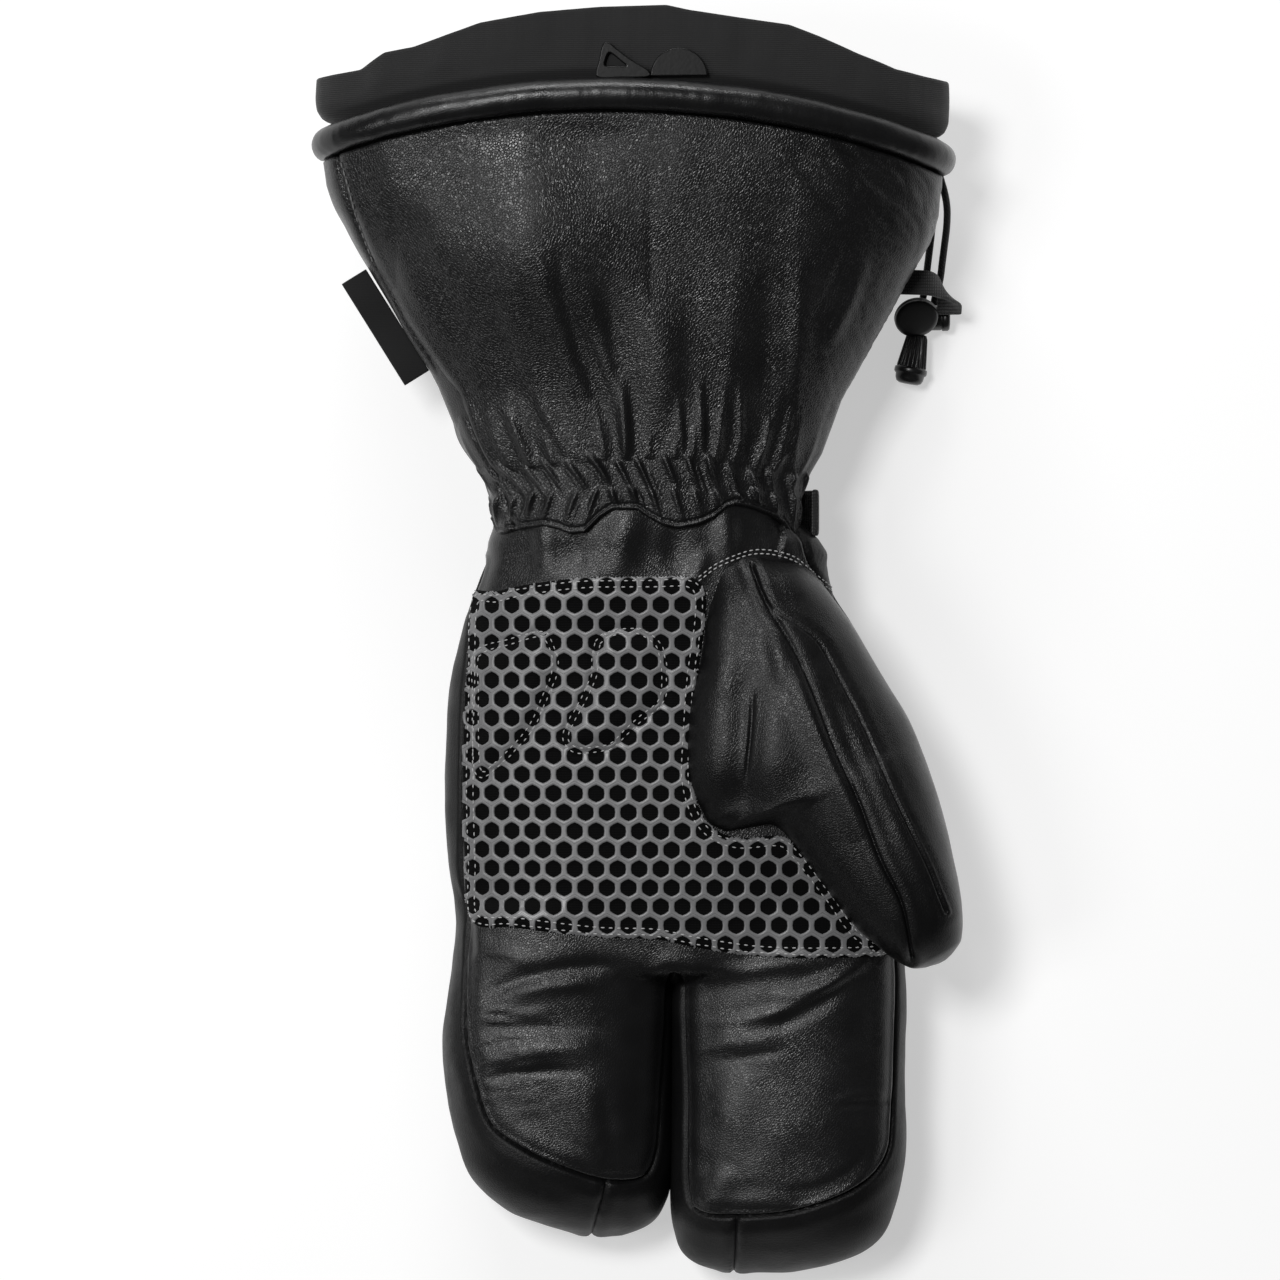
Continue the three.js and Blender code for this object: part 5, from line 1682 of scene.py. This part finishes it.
def net_group():
    """Puts a cell at every point of the base, drops it on the surface and leaves out what misses it."""
    inputs = {"Cell": "NodeSocketObject", "Surface": "NodeSocketObject", "Rubber": "NodeSocketMaterial"}
    tree, given, result = group_with("net", inputs)
    cell = add_node(tree, "GeometryNodeObjectInfo", {"Object": given["Cell"]})
    surface = add_node(tree, "GeometryNodeObjectInfo", {"Object": given["Surface"]})
    named = "GeometryNodeInputNamedAttribute"
    squeeze = add_node(tree, named, {"Name": "squeeze"}, data_type="FLOAT_VECTOR")
    placed = add_node(
        tree,
        "GeometryNodeInstanceOnPoints",
        {"Points": given["Geometry"], "Instance": cell.outputs["Geometry"], "Scale": squeeze.outputs[0]},
    )
    real = add_node(tree, "GeometryNodeRealizeInstances", {"Geometry": placed.outputs[0]})
    fine = add_node(tree, "GeometryNodeSubdivideMesh", {"Mesh": real.outputs[0], "Level": 1})
    place = add_node(tree, "GeometryNodeInputPosition")
    parts = add_node(tree, "ShaderNodeSeparateXYZ", {0: place.outputs[0]})
    high = {"X": parts.outputs[0], "Y": parts.outputs[1], "Z": SEARCH_FROM}
    above = add_node(tree, "ShaderNodeCombineXYZ", high)
    drop = add_node(
        tree,
        "GeometryNodeRaycast",
        {
            "Target Geometry": surface.outputs["Geometry"],
            "Source Position": above.outputs[0],
            "Ray Direction": (0, 0, -1),
            "Ray Length": SEARCH_REACH,
        },
    )
    height = add_node(tree, "ShaderNodeVectorMath", {0: drop.outputs["Hit Normal"]}, operation="SCALE")
    tree.links.new(parts.outputs[2], height.inputs["Scale"])
    target = add_node(tree, "ShaderNodeVectorMath", {0: drop.outputs["Hit Position"], 1: height.outputs[0]})
    kept = add_node(tree, "GeometryNodeStoreNamedAttribute", {"Geometry": fine.outputs[0], "Name": "kept"})
    kept.data_type = "BOOLEAN"
    tree.links.new(drop.outputs["Is Hit"], kept.inputs["Value"])
    moved = add_node(
        tree,
        "GeometryNodeSetPosition",
        {"Geometry": kept.outputs[0], "Selection": drop.outputs["Is Hit"], "Position": target.outputs[0]},
    )
    was_hit = add_node(tree, named, {"Name": "kept"}, data_type="BOOLEAN")
    missed = add_node(tree, "FunctionNodeBooleanMath", {0: was_hit.outputs[0]}, operation="NOT")
    outside = {"Geometry": moved.outputs[0], "Selection": missed.outputs[0]}
    cut = add_node(tree, "GeometryNodeDeleteGeometry", outside)
    paint_result(tree, cut.outputs[0], given["Rubber"], result)
    return tree


def net_piece():
    count = len(net_places)
    mesh = bpy.data.meshes.new("net_places")
    points = to_frame(np.column_stack([net_places, np.zeros(count)]))
    mesh.from_pydata(points.tolist(), [], [])
    squeeze = mesh.attributes.new("squeeze", "FLOAT_VECTOR", "POINT")
    scale = np.column_stack([net_squeezes, np.ones(count), np.ones(count)])
    squeeze.data.foreach_set("vector", scale.ravel().astype(np.float32))
    base = bpy.data.objects.new("net_places", mesh)
    bpy.context.scene.collection.objects.link(base)
    cell = cell_ring()
    net = run_group("grip_net", base, net_group(), {"Cell": cell, "Surface": patch, "Rubber": silicone})
    bpy.data.objects.remove(cell)
    return net


net = net_piece()

# %% [markdown]
# ## Thumb sizes
# A padded, tapered tube of soft leather springs from the palm, with two seams and a narrow strip between
# them. It could be a limb of the hand's remesh, with a blurred root. It is a loft of its own from tables.

# %% Thumb sizes
THUMB_LENGTH = 122.4
THUMB_BASE = np.array([32.1, -25.2, 0.0])
THUMB_ANGLE = math.radians(-62.4)
THUMB_PALM, THUMB_OUTER, THUMB_DEPTH = 37.5, 25.2, 50.0
THUMB_BASE_HEIGHT, THUMB_TIP_HEIGHT = 36.0, 46.0
THUMB_STEPS, THUMB_SIDES = 280, 330

# at, palm, outer, depth
THUMB_ROWS = [
    (-0.11, 0.22, 0.3, 0.6),
    (0, 0.46, 0.83, 0.85),
    (0.08, 0.63, 0.92, 0.92),
    (0.17, 0.87, 0.98, 0.97),
    (0.35, 1.13, 1.03, 1),
    (0.43, 1.15, 1.05, 1),
    (0.475, 1.06, 1.04, 1),
    (0.515, 0.68, 1.02, 0.99),
    (0.57, 0.58, 0.99, 0.97),
    (0.693, 0.51, 0.89, 0.92),
    (0.792, 0.46, 0.76, 0.84),
    (0.904, 0.34, 0.58, 0.68),
    (0.975, 0.2, 0.4, 0.42),
    (0.992, 0.1, 0.26, 0.26),
    (1, 0, 0.14, 0.12),
]
THUMB_SEAM = [
    (752, 566), (762, 592), (770, 610), (780, 625), (799, 659), (819, 707), (836, 751), (858, 800),
    (880, 859), (902, 905), (912, 957),
]
THUMB_WELT = [
    (752, 566), (762, 594), (776, 612), (799, 626), (819, 643), (841, 682), (858, 715), (874, 751),
    (891, 790), (911, 832), (930, 871), (946, 912),
]

# x0, y0, x1, y1, bow, width, height
THUMB_FOLDS = [
    (752, 688, 743, 784, -2, 2.6, -1.3),
    (748, 660, 738, 840, 0, 20, -3.4),
    (690, 814, 820, 798, 0, 32, -3.4),
    (722, 590, 720, 700, 0, 18, 1.6),
    (768, 630, 782, 690, -3, 9, 1.2),
    (776, 630, 862, 840, 2, 14, 2.2),
    (768, 606, 790, 626, 2, 4, 0.5),
    (850, 700, 938, 890, 8, 16, 0.6),
]
print("thumb", THUMB_LENGTH, "mm long with", len(THUMB_FOLDS), "folds")

# %% [markdown]
# ## Thumb
# The thumb is a straight cone that bulges at its root and has one sharp crease. A curve with a bevel
# would stay round. Rings have their own width to each side, and seams and folds are raised on them.

# %% Thumb
THUMB_TIP_STEPS = 40


def thumb_grid():
    root = np.linspace(THUMB_ROWS[0][0], TIP_FROM, THUMB_STEPS - THUMB_TIP_STEPS)
    at = np.concatenate([root, np.linspace(TIP_FROM, 1, THUMB_TIP_STEPS + 1)[1:]])
    palm_side, outer_side, depth = read_table(THUMB_ROWS, at)
    angle = even_angles(THUMB_SIDES, -THUMB_PALM, THUMB_OUTER, 0, THUMB_DEPTH)
    height = THUMB_BASE_HEIGHT + (THUMB_TIP_HEIGHT - THUMB_BASE_HEIGHT) * at
    half = depth * THUMB_DEPTH / 2
    left, right = -palm_side * THUMB_PALM, outer_side * THUMB_OUTER
    across, z, _, _ = section(
        angle[None], left[:, None], right[:, None], (height - half)[:, None], (height + half)[:, None]
    )
    forward = np.array([math.cos(THUMB_ANGLE), math.sin(THUMB_ANGLE), 0.0])
    aside = np.array([-forward[1], forward[0], 0.0])
    grid = THUMB_BASE + (at * THUMB_LENGTH)[:, None, None] * forward + across[..., None] * aside
    grid[..., 2] = z
    return grid


def thumb_relief(points, normals):
    """Millimetres that the thumb's leather stands out from its plain loft."""
    places = in_photo(points)
    upper = smooth_step(-0.05, 0.35, normals[:, 2])
    seam, _ = line_distance(places, through(THUMB_SEAM, 60))
    welt, _ = line_distance(places, through(THUMB_WELT, 60))
    seam, welt = PIXEL * seam, PIXEL * welt
    total = upper * (0.4 * bell(seam - 2.6, 1.8) - 1.2 * bell(seam, 0.5))
    beside = 0.3 * bell(welt - 3.0, 2.2) + 0.25 * bell(welt - 0.9, 0.5)
    total += upper * (beside - 0.6 * bell(welt, 0.45))
    total += upper * folds(points, THUMB_FOLDS)
    total += 0.35 * noise(points, (20, 26, 20)) + 0.12 * noise(points + 60, (8, 10, 8))
    return total


def thumb_piece():
    grid = thumb_grid()
    normals = grid_normals(grid)
    middle = grid.mean(axis=1, keepdims=True)
    if ((grid - middle) * normals).sum() < 0:
        normals = -normals
    relief = thumb_relief(grid.reshape(-1, 3), normals.reshape(-1, 3)).reshape(grid.shape[:2])
    relief[-3:] *= 0.3  # the last rings are too narrow for all of it
    points, faces = closed_loft(grid + normals * relief[..., None])
    return make_mesh("thumb_piece", points, faces, leathers["thumb leather"])


thumb = thumb_piece()

# %% [markdown]
# ## Sewing
# Pale thread runs in double rows round the patch, its pads and the thumb's base, and grey thread down the
# gauntlet's side seam. It could be painted on. It is laid along lines of the photo, at the real pitch.

# %% Sewing
THUMB_BASE_LINE = [(700, 580), (720, 566), (755, 554), (790, 559), (812, 575), (845, 605), (866, 640)]
SIDE_SEAM_LINE = [(337, 165), (343, 185), (352, 218), (367, 259)]
BORDER_INSETS, PAD_INSETS = (1.1, 3.0), (0.0, 1.7)
THUMB_ROW_OFFSETS = (0.0, -4.0)  # in the photo's rows
BORDER_LIFT, PAD_LIFT, THUMB_LIFT, SEAM_LIFT = 0.55, 0.5, 0.12, 0.15
palm_surface = surface_of(palm, outer_strip, between_strip, inner_strip)
gauntlet_surface = surface_of(gauntlet)


def shrunk(outline, inset):
    """A closed outline of the photo moved inwards, in millimetres."""
    run = np.roll(outline, -1, axis=0) - np.roll(outline, 1, axis=0)
    run /= np.linalg.norm(run, axis=1, keepdims=True)
    inward = np.stack([-run[:, 1], run[:, 0]], axis=1)
    if inside_outline(outline[:1] + 4 * inward[:1], outline)[0] < 0:
        inward = -inward
    return outline + inward * inset / PIXEL


def on_patch_only(line):
    return line[inside_outline(line, patch_outline) > 0.4]


sewn = [seen_at(patch_surface, shrunk(patch_outline, inset), BORDER_LIFT) for inset in BORDER_INSETS]
patch_stitches = stitches(
    "patch_stitches", sewn, pale_thread, pitch=2.4, length=1.3, thickness=0.4, closed=True
)

pads = []
for outline in (left_pad, right_pad):
    for inset in PAD_INSETS:
        pads.append(seen_at(patch_surface, on_patch_only(shrunk(outline, inset)), PAD_LIFT))
pad_stitches = stitches("pad_stitches", pads, pale_thread, pitch=2.3, length=1.2, thickness=0.36)

base_lines = []
for offset in THUMB_ROW_OFFSETS:
    row = through(THUMB_BASE_LINE, 60) + np.array([0, offset])
    base_lines.append(seen_at(palm_surface, row, THUMB_LIFT))
thumb_stitches = stitches("thumb_stitches", base_lines, pale_thread, pitch=1.9, length=1.3, thickness=0.42)

seam_line = through(SIDE_SEAM_LINE, 30) + np.array([5.0, 0])
seam_threads = [seen_at(gauntlet_surface, seam_line, SEAM_LIFT)]
seam_stitches = stitches("seam_stitches", seam_threads, grey_thread, pitch=2.6)

# %% [markdown]
# ## Wrist strap
# A strap of webbing lies round the back of the wrist. A curve with a flat bevel would twist on the way.
# The strip is swept along the gauntlet's own outline, with its width held along the mitt.

# %% Wrist strap
STRIP_SIDES = 20
STRAP_WIDTH, STRAP_WALL, STRAP_TOP, STRAP_OUT = 13.8, 1.8, 7.8, 3.0
STRAP_FROM, STRAP_TO, STRAP_STEPS = 9, -127, 90  # degrees round the wrist, and points


def swept_strip(name, middles, wide, width, wall, material):
    """A flat strip along a line, wide in the given directions."""
    run = np.gradient(middles, axis=0)
    run /= np.linalg.norm(run, axis=1, keepdims=True)
    thick = np.cross(run, wide)
    thick /= np.linalg.norm(thick, axis=1, keepdims=True)
    wide = np.cross(thick, run)
    corner = np.arange(STRIP_SIDES) / STRIP_SIDES * 2 * np.pi
    across = np.sign(np.cos(corner)) * np.abs(np.cos(corner)) ** 0.25
    deep = np.sign(np.sin(corner)) * np.abs(np.sin(corner)) ** 0.6
    grid = middles[:, None] + (across * width / 2)[None, :, None] * wide[:, None]
    grid = grid + (deep * wall / 2)[None, :, None] * thick[:, None]
    points, faces = closed_loft(grid)
    return make_mesh(name, points, faces, material)


strap_angle = np.radians(np.linspace(STRAP_FROM, STRAP_TO, STRAP_STEPS))
strap_line, _, _ = gauntlet_shape(np.zeros(STRAP_STEPS), strap_angle, STRAP_OUT + STRAP_WALL / 2)
strap_line[:, 1] = STRAP_TOP - STRAP_WIDTH / 2
strap_line[:, 2] = np.maximum(strap_line[:, 2], 1.0)
along_y = np.tile([0.0, 1.0, 0.0], (STRAP_STEPS, 1))
strap = swept_strip("wrist_strap_piece", strap_line, along_y, STRAP_WIDTH, STRAP_WALL, webbing)

# %% [markdown]
# ## Side tab
# A short folded tape is caught in the gauntlet's side seam. A flat box would do, but real tape waves a
# little. It is swept between its ends in the photo, with a wave of half a millimetre.

# %% Side tab
TAB_WIDTH, TAB_WALL, TAB_LEVEL = 8.6, 1.2, 32.0
TAB_WAVE, TAB_STEPS = 0.5, 50
tab_ends = from_photo([(367, 271), (430, 372)], TAB_LEVEL)
tab_out = from_photo([(345, 281), (408, 383)], TAB_LEVEL)
tab_share = np.linspace(0, 1, TAB_STEPS)[:, None]
tab_seam = tab_ends[:1] + tab_share * (tab_ends[1:] - tab_ends[:1])
tab_wide = (tab_out[0] - tab_ends[0]) / np.linalg.norm(tab_out[0] - tab_ends[0])
tab_middle = tab_seam + tab_wide * TAB_WIDTH / 2
tab_middle[:, 2] += TAB_WAVE * np.sin(3 * np.pi * tab_share[:, 0])
tab_wides = np.tile(tab_wide, (TAB_STEPS, 1))
side_tab = swept_strip("side_tab_piece", tab_middle, tab_wides, TAB_WIDTH, TAB_WALL, tab_tape)

# %% [markdown]
# ## Lock tab
# Webbing comes out of the gauntlet's side, falls and twists a quarter round, down to the cord lock. It
# could hang by simulation. The photo fixes its whole way, so a short table of shares is enough.

# %% Lock tab
# at, then the shares of reach out from the gauntlet, drop, turn back along Y, and twist
LOCK_TAB_ROWS = [
    (0, -0.25, 0, 0, 0),
    (0.2, 0.35, 0.08, 0.02, 0.05),
    (0.45, 0.68, 0.3, 0.12, 0.2),
    (0.7, 0.9, 0.58, 0.4, 0.5),
    (0.88, 1, 0.85, 0.75, 0.85),
    (1, 1, 1, 1, 1),
]
LOCK_TAB_AT, LOCK_TAB_REACH, LOCK_TAB_DROP, LOCK_TAB_TURN = 0.704, 12.5, 22.0, 8.2
LOCK_TAB_WIDTH, LOCK_TAB_WALL, LOCK_TAB_STEPS = 7.5, 1.3, 60
tab_root = gauntlet_shape(np.array([LOCK_TAB_AT]), np.zeros(1), FIT)[0][0]
reach, drop, turned, twist = read_table(LOCK_TAB_ROWS, np.linspace(0, 1, LOCK_TAB_STEPS))
way = [reach * LOCK_TAB_REACH, -turned * LOCK_TAB_TURN, -drop * LOCK_TAB_DROP]
lock_line = tab_root + np.stack(way, axis=1)
quarter = twist * np.pi / 2
lock_wide = np.stack([-np.sin(quarter), np.cos(quarter), np.zeros(LOCK_TAB_STEPS)], axis=1)
lock_tab = swept_strip("lock_tab_piece", lock_line, lock_wide, LOCK_TAB_WIDTH, LOCK_TAB_WALL, webbing)

# %% [markdown]
# ## Turned parts
# The lock's button and barrel and the cord's end are moulded parts, round about one line. The Screw
# modifier turns a profile too. A function keeps every profile a table, and can raise ribs.

# %% Turned parts
def turned_piece(name, profile, place, axis, side, material, sides=64, ribs=0, rib_depth=0.0):
    """A turned part: profile rows are along and radius, in millimetres, from place along axis."""
    profile = np.array(profile, dtype=float)
    axis, side = np.array(axis, dtype=float), np.array(side, dtype=float)
    axis /= np.linalg.norm(axis)
    side = side - axis * (side @ axis)
    side /= np.linalg.norm(side)
    up = np.cross(axis, side)
    angle = np.arange(sides) / sides * 2 * np.pi
    ribbed = np.array([row[2] if len(row) > 2 else 0 for row in profile.tolist()])
    reach = profile[:, 1:2] + ribbed[:, None] * rib_depth * np.cos(ribs * angle)[None]
    grid = np.array(place) + profile[:, :1, None] * axis
    grid = grid + (reach * np.cos(angle))[..., None] * side + (reach * np.sin(angle))[..., None] * up
    points, faces = closed_loft(grid)
    return make_mesh(name, points, faces, material)


def joined(name, pieces):
    """Several objects as one."""
    bpy.ops.object.select_all(action="DESELECT")
    for piece in pieces:
        piece.select_set(True)
    bpy.context.view_layer.objects.active = pieces[0]
    bpy.ops.object.join()
    pieces[0].name = name
    return pieces[0]


LOCK_PLACE = (84.3, 60.6)
BUTTON_HEIGHT, BARREL_HEIGHT, BARREL_RADIUS = 10.5, 3.9, 3.7
BUTTON_TILT, BUTTON_TURN = math.radians(51), math.radians(12)
BUTTON = [
    (-1.5, 5.6), (-1.3, 6.4), (-0.6, 6.7), (-0.2, 6.45), (0.1, 6.45), (0.5, 6.7),
    (1.2, 6.5), (1.5, 5.9), (1.62, 5.0), (1.7, 3.0), (1.74, 1.0),
]
BARREL = [
    (-3.5, 2.6), (-3.3, 3.3), (-2.8, 3.7), (7.5, 3.7), (8.0, 3.5),
    (8.2, 3.9), (9.8, 3.9), (10.3, 3.5), (10.5, 2.4),
]
button_axis = (
    math.cos(BUTTON_TILT) * math.sin(BUTTON_TURN),
    -math.cos(BUTTON_TILT) * math.cos(BUTTON_TURN),
    math.sin(BUTTON_TILT),
)
button_place, barrel_place = (*LOCK_PLACE, BUTTON_HEIGHT), (*LOCK_PLACE, BARREL_HEIGHT)
button = turned_piece("button", BUTTON, button_place, button_axis, (1, 0, 0), lock_plastic)
barrel = turned_piece("barrel", BARREL, barrel_place, (1, 0, 0), (0, 1, 0), lock_plastic, sides=48)
cord_lock = joined("cord_lock_piece", [button, barrel])

# %% [markdown]
# ## Cord end
# Both strands end in one moulded grip with a ribbed cone and a smooth cap. Booleans could cut the ribs.
# They are a cosine round the cone, on the rows that are marked with 1.

# %% Cord end
END_RADIUS, END_TURN, END_SHIFT = 5.0, math.radians(-10.5), 0.6
END_RIBS, END_RIB_DEPTH = 20, 0.22
END = [
    (0, 2.4, 0), (0.1, 2.8, 0), (1.2, 3.1, 1), (5.5, 3.7, 1), (10.0, 4.3, 1), (10.3, 4.4, 0),
    (10.5, 4.9, 0), (11.0, 5.0, 0), (11.8, 5.0, 0), (12.2, 4.8, 0), (12.5, 4.4, 0), (13.8, 4.25, 0),
    (14.8, 3.8, 0), (15.3, 2.8, 0), (15.4, 1.2, 0),
]
end_axis = (math.sin(END_TURN), -math.cos(END_TURN), 0)
end_y = LOCK_PLACE[1] - BARREL_RADIUS - FIT - END_RADIUS * abs(math.sin(END_TURN))
end_place = (LOCK_PLACE[0] + END_SHIFT, end_y, END_RADIUS)
cord_end = turned_piece(
    "cord_end_piece", END, end_place, end_axis, (1, 0, 0), lock_plastic,
    sides=160, ribs=END_RIBS, rib_depth=END_RIB_DEPTH,
)

# %% [markdown]
# ## Clip on the sleeve
# A triangular loop and a half-round tab of moulded plastic stand out of the roll's seam. Booleans would
# cut them. Flat curves, extruded and bevelled, give the soft edges and the loop's hole at once.

# %% Clip
def moulded(name, outlines, height, thickness, bevel, material):
    """A flat moulded part: the outlines after the first are its holes."""
    curve = bpy.data.curves.new(name, "CURVE")
    curve.dimensions = "2D"
    curve.fill_mode = "BOTH"
    curve.extrude = (thickness / 2 - bevel) * MM
    curve.bevel_depth = bevel * MM
    curve.bevel_resolution = 3
    curve.offset = -bevel * MM
    for outline in outlines:
        spline = curve.splines.new("POLY")
        spline.points.add(len(outline) - 1)
        for point, place in zip(spline.points, outline):
            point.co = (place[0] * MM, place[1] * MM, 0, 1)
        spline.use_cyclic_u = True
    flat = bpy.data.objects.new(name, curve)
    bpy.context.scene.collection.objects.link(flat)
    mesh = bpy.data.meshes.new_from_object(flat.evaluated_get(bpy.context.evaluated_depsgraph_get()))
    bpy.data.objects.remove(flat)
    places = np.array([v.co[:] for v in mesh.vertices]) + (WRIST + np.array([0, 0, height])) * MM
    mesh.vertices.foreach_set("co", places.ravel())
    mesh.materials.clear()
    mesh.materials.append(material)
    mesh.update()
    piece = bpy.data.objects.new(name, mesh)
    bpy.context.scene.collection.objects.link(piece)
    print(name, len(mesh.vertices), "points")
    return piece


CLIP_HEIGHT, CLIP_WALL, CLIP_BEVEL = 69.0, 1.5, 0.4
CLIP_TAB_RADII = (8.4, 8.3)
LOOP_OUTER = [
    (597, 77), (599, 60), (603, 44), (610, 43), (616, 48), (632, 60), (648, 70), (648, 77), (620, 78),
]
LOOP_INNER = [(605, 65), (608, 54), (612, 54), (622, 62), (626, 66), (615, 66)]
loop_outlines = [
    through(from_photo(LOOP_OUTER, CLIP_HEIGHT)[:, :2], 90, closed=True),
    through(from_photo(LOOP_INNER, CLIP_HEIGHT)[:, :2], 60, closed=True),
]
clip_loop = moulded("clip_loop_piece", loop_outlines, CLIP_HEIGHT, CLIP_WALL, CLIP_BEVEL, clip_plastic)
tab_angle = np.linspace(0, np.pi, 40)
tab_arc = np.stack([np.cos(tab_angle), np.sin(tab_angle)], axis=1) * CLIP_TAB_RADII
tab_round = from_photo([(679, 76)], CLIP_HEIGHT)[0, :2] + tab_arc
clip_tab = moulded("clip_tab_piece", [tab_round], CLIP_HEIGHT, CLIP_WALL, CLIP_BEVEL, clip_plastic)

# %% [markdown]
# ## Floor and lights
# The photo is a studio shot on white. An environment picture could light it. Three area lights do: a key
# high over the palm's left, a weak one further left, and a low one past the gauntlet's end that rakes
# over the folds. The pale floor glows a little.

# %% Floor and lights
FLOOR_DROP = 0.0005  # metres below the mitt, so that the two don't share a plane
# name, place in metres, size in metres, power in watts
LIGHTS = [
    ("key", (-0.62, 0.5, 2.0), (0.5, 0.5), 25),
    ("left", (-1.25, -0.15, 1.65), (0.6, 0.6), 7),
    ("end", (-0.2, 1.9, 0.75), (1.2, 0.25), 20),
]


def area_light(name, place, size, power, target=(0, 0, 0.03)):
    data = bpy.data.lights.new(name, "AREA")
    data.shape = "RECTANGLE"
    data.size, data.size_y = size
    data.energy = power
    light = bpy.data.objects.new(name, data)
    light.location = place
    light.rotation_euler = (Vector(target) - Vector(place)).to_track_quat("-Z", "Y").to_euler()
    bpy.context.scene.collection.objects.link(light)


floor_mesh = bpy.data.meshes.new("floor")
floor_mesh.from_pydata([(-4, -4, 0), (4, -4, 0), (4, 4, 0), (-4, 4, 0)], [], [(0, 1, 2, 3)])
floor = bpy.data.objects.new("floor", floor_mesh)
floor.location.z = -FLOOR_DROP
bpy.context.scene.collection.objects.link(floor)
floor_paint = bpy.data.materials.new("floor paint")
floor_paint.use_nodes = True
floor_shader = floor_paint.node_tree.nodes["Principled BSDF"]
floor_shader.inputs["Base Color"].default_value = (0.6, 0.6, 0.6, 1)
floor_shader.inputs["Roughness"].default_value = 0.9
floor_shader.inputs["Emission Color"].default_value = (1, 1, 1, 1)
floor_shader.inputs["Emission Strength"].default_value = 0.5
floor_mesh.materials.append(floor_paint)

world = bpy.data.worlds.new("world")
world.use_nodes = True
world.node_tree.nodes["Background"].inputs["Color"].default_value = (1, 1, 1, 1)
world.node_tree.nodes["Background"].inputs["Strength"].default_value = 0.07
bpy.context.scene.world = world
bpy.context.scene.view_settings.view_transform = "Standard"
for light_name, place, size, power in LIGHTS:
    area_light(light_name, place, size, power)
print(len(LIGHTS), "lights and a floor")

# %% [markdown]
# ## Hand over
# Every piece rides on the one rigid body and names the solids that it stands for, which are hidden.
# Soft parts could have joints, but they bend everywhere, so they ride on the one body too.

# %% Hand over
HANDED = [
    (gauntlet, "gauntlet_leather", ["gauntlet"]),
    (roll, "roll_leather", ["cuff_roll"]),
    (sleeve, "sleeve_nylon", ["snow_sleeve"]),
    (palm, "palm_leather", ["palm_panel"]),
    (outer_strip, "side_leather", ["outer_side_strip"]),
    (between_strip, "side_leather", ["fourchette"]),
    (inner_strip, "side_leather", ["inner_side_strip"]),
    (back, "back_leather", ["back_panel"]),
    (hand_lining, "back_leather", []),
    (patch, "grip_fabric", ["grip_patch"]),
    (net, "grip_fabric", []),
    (thumb, "thumb_leather", ["thumb_inner_panel", "thumb_outer_panel"]),
    (patch_stitches, "grip_fabric", []),
    (pad_stitches, "grip_fabric", []),
    (thumb_stitches, "thumb_leather", []),
    (seam_stitches, "gauntlet_leather", []),
    (strap, "webbing", ["wrist_strap"]),
    (side_tab, "tab_fabric", ["side_tab"]),
    (lock_tab, "webbing", ["lock_tab"]),
    (clip_tab, "black_plastic", ["clip_tab"]),
    (clip_loop, "black_plastic", ["clip_loop"]),
    (cord_lock, "lock_plastic", ["cord_lock"]),
    (cord_end, "lock_plastic", ["cord_end"]),
    (strands["drawcord_a"][0], "cord", ["drawcord_a"]),
    (strands["drawcord_b"][0], "cord", ["drawcord_b"]),
]
for piece, finish, nodes in HANDED:
    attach(piece, "root")
    if nodes:
        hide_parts(*nodes)
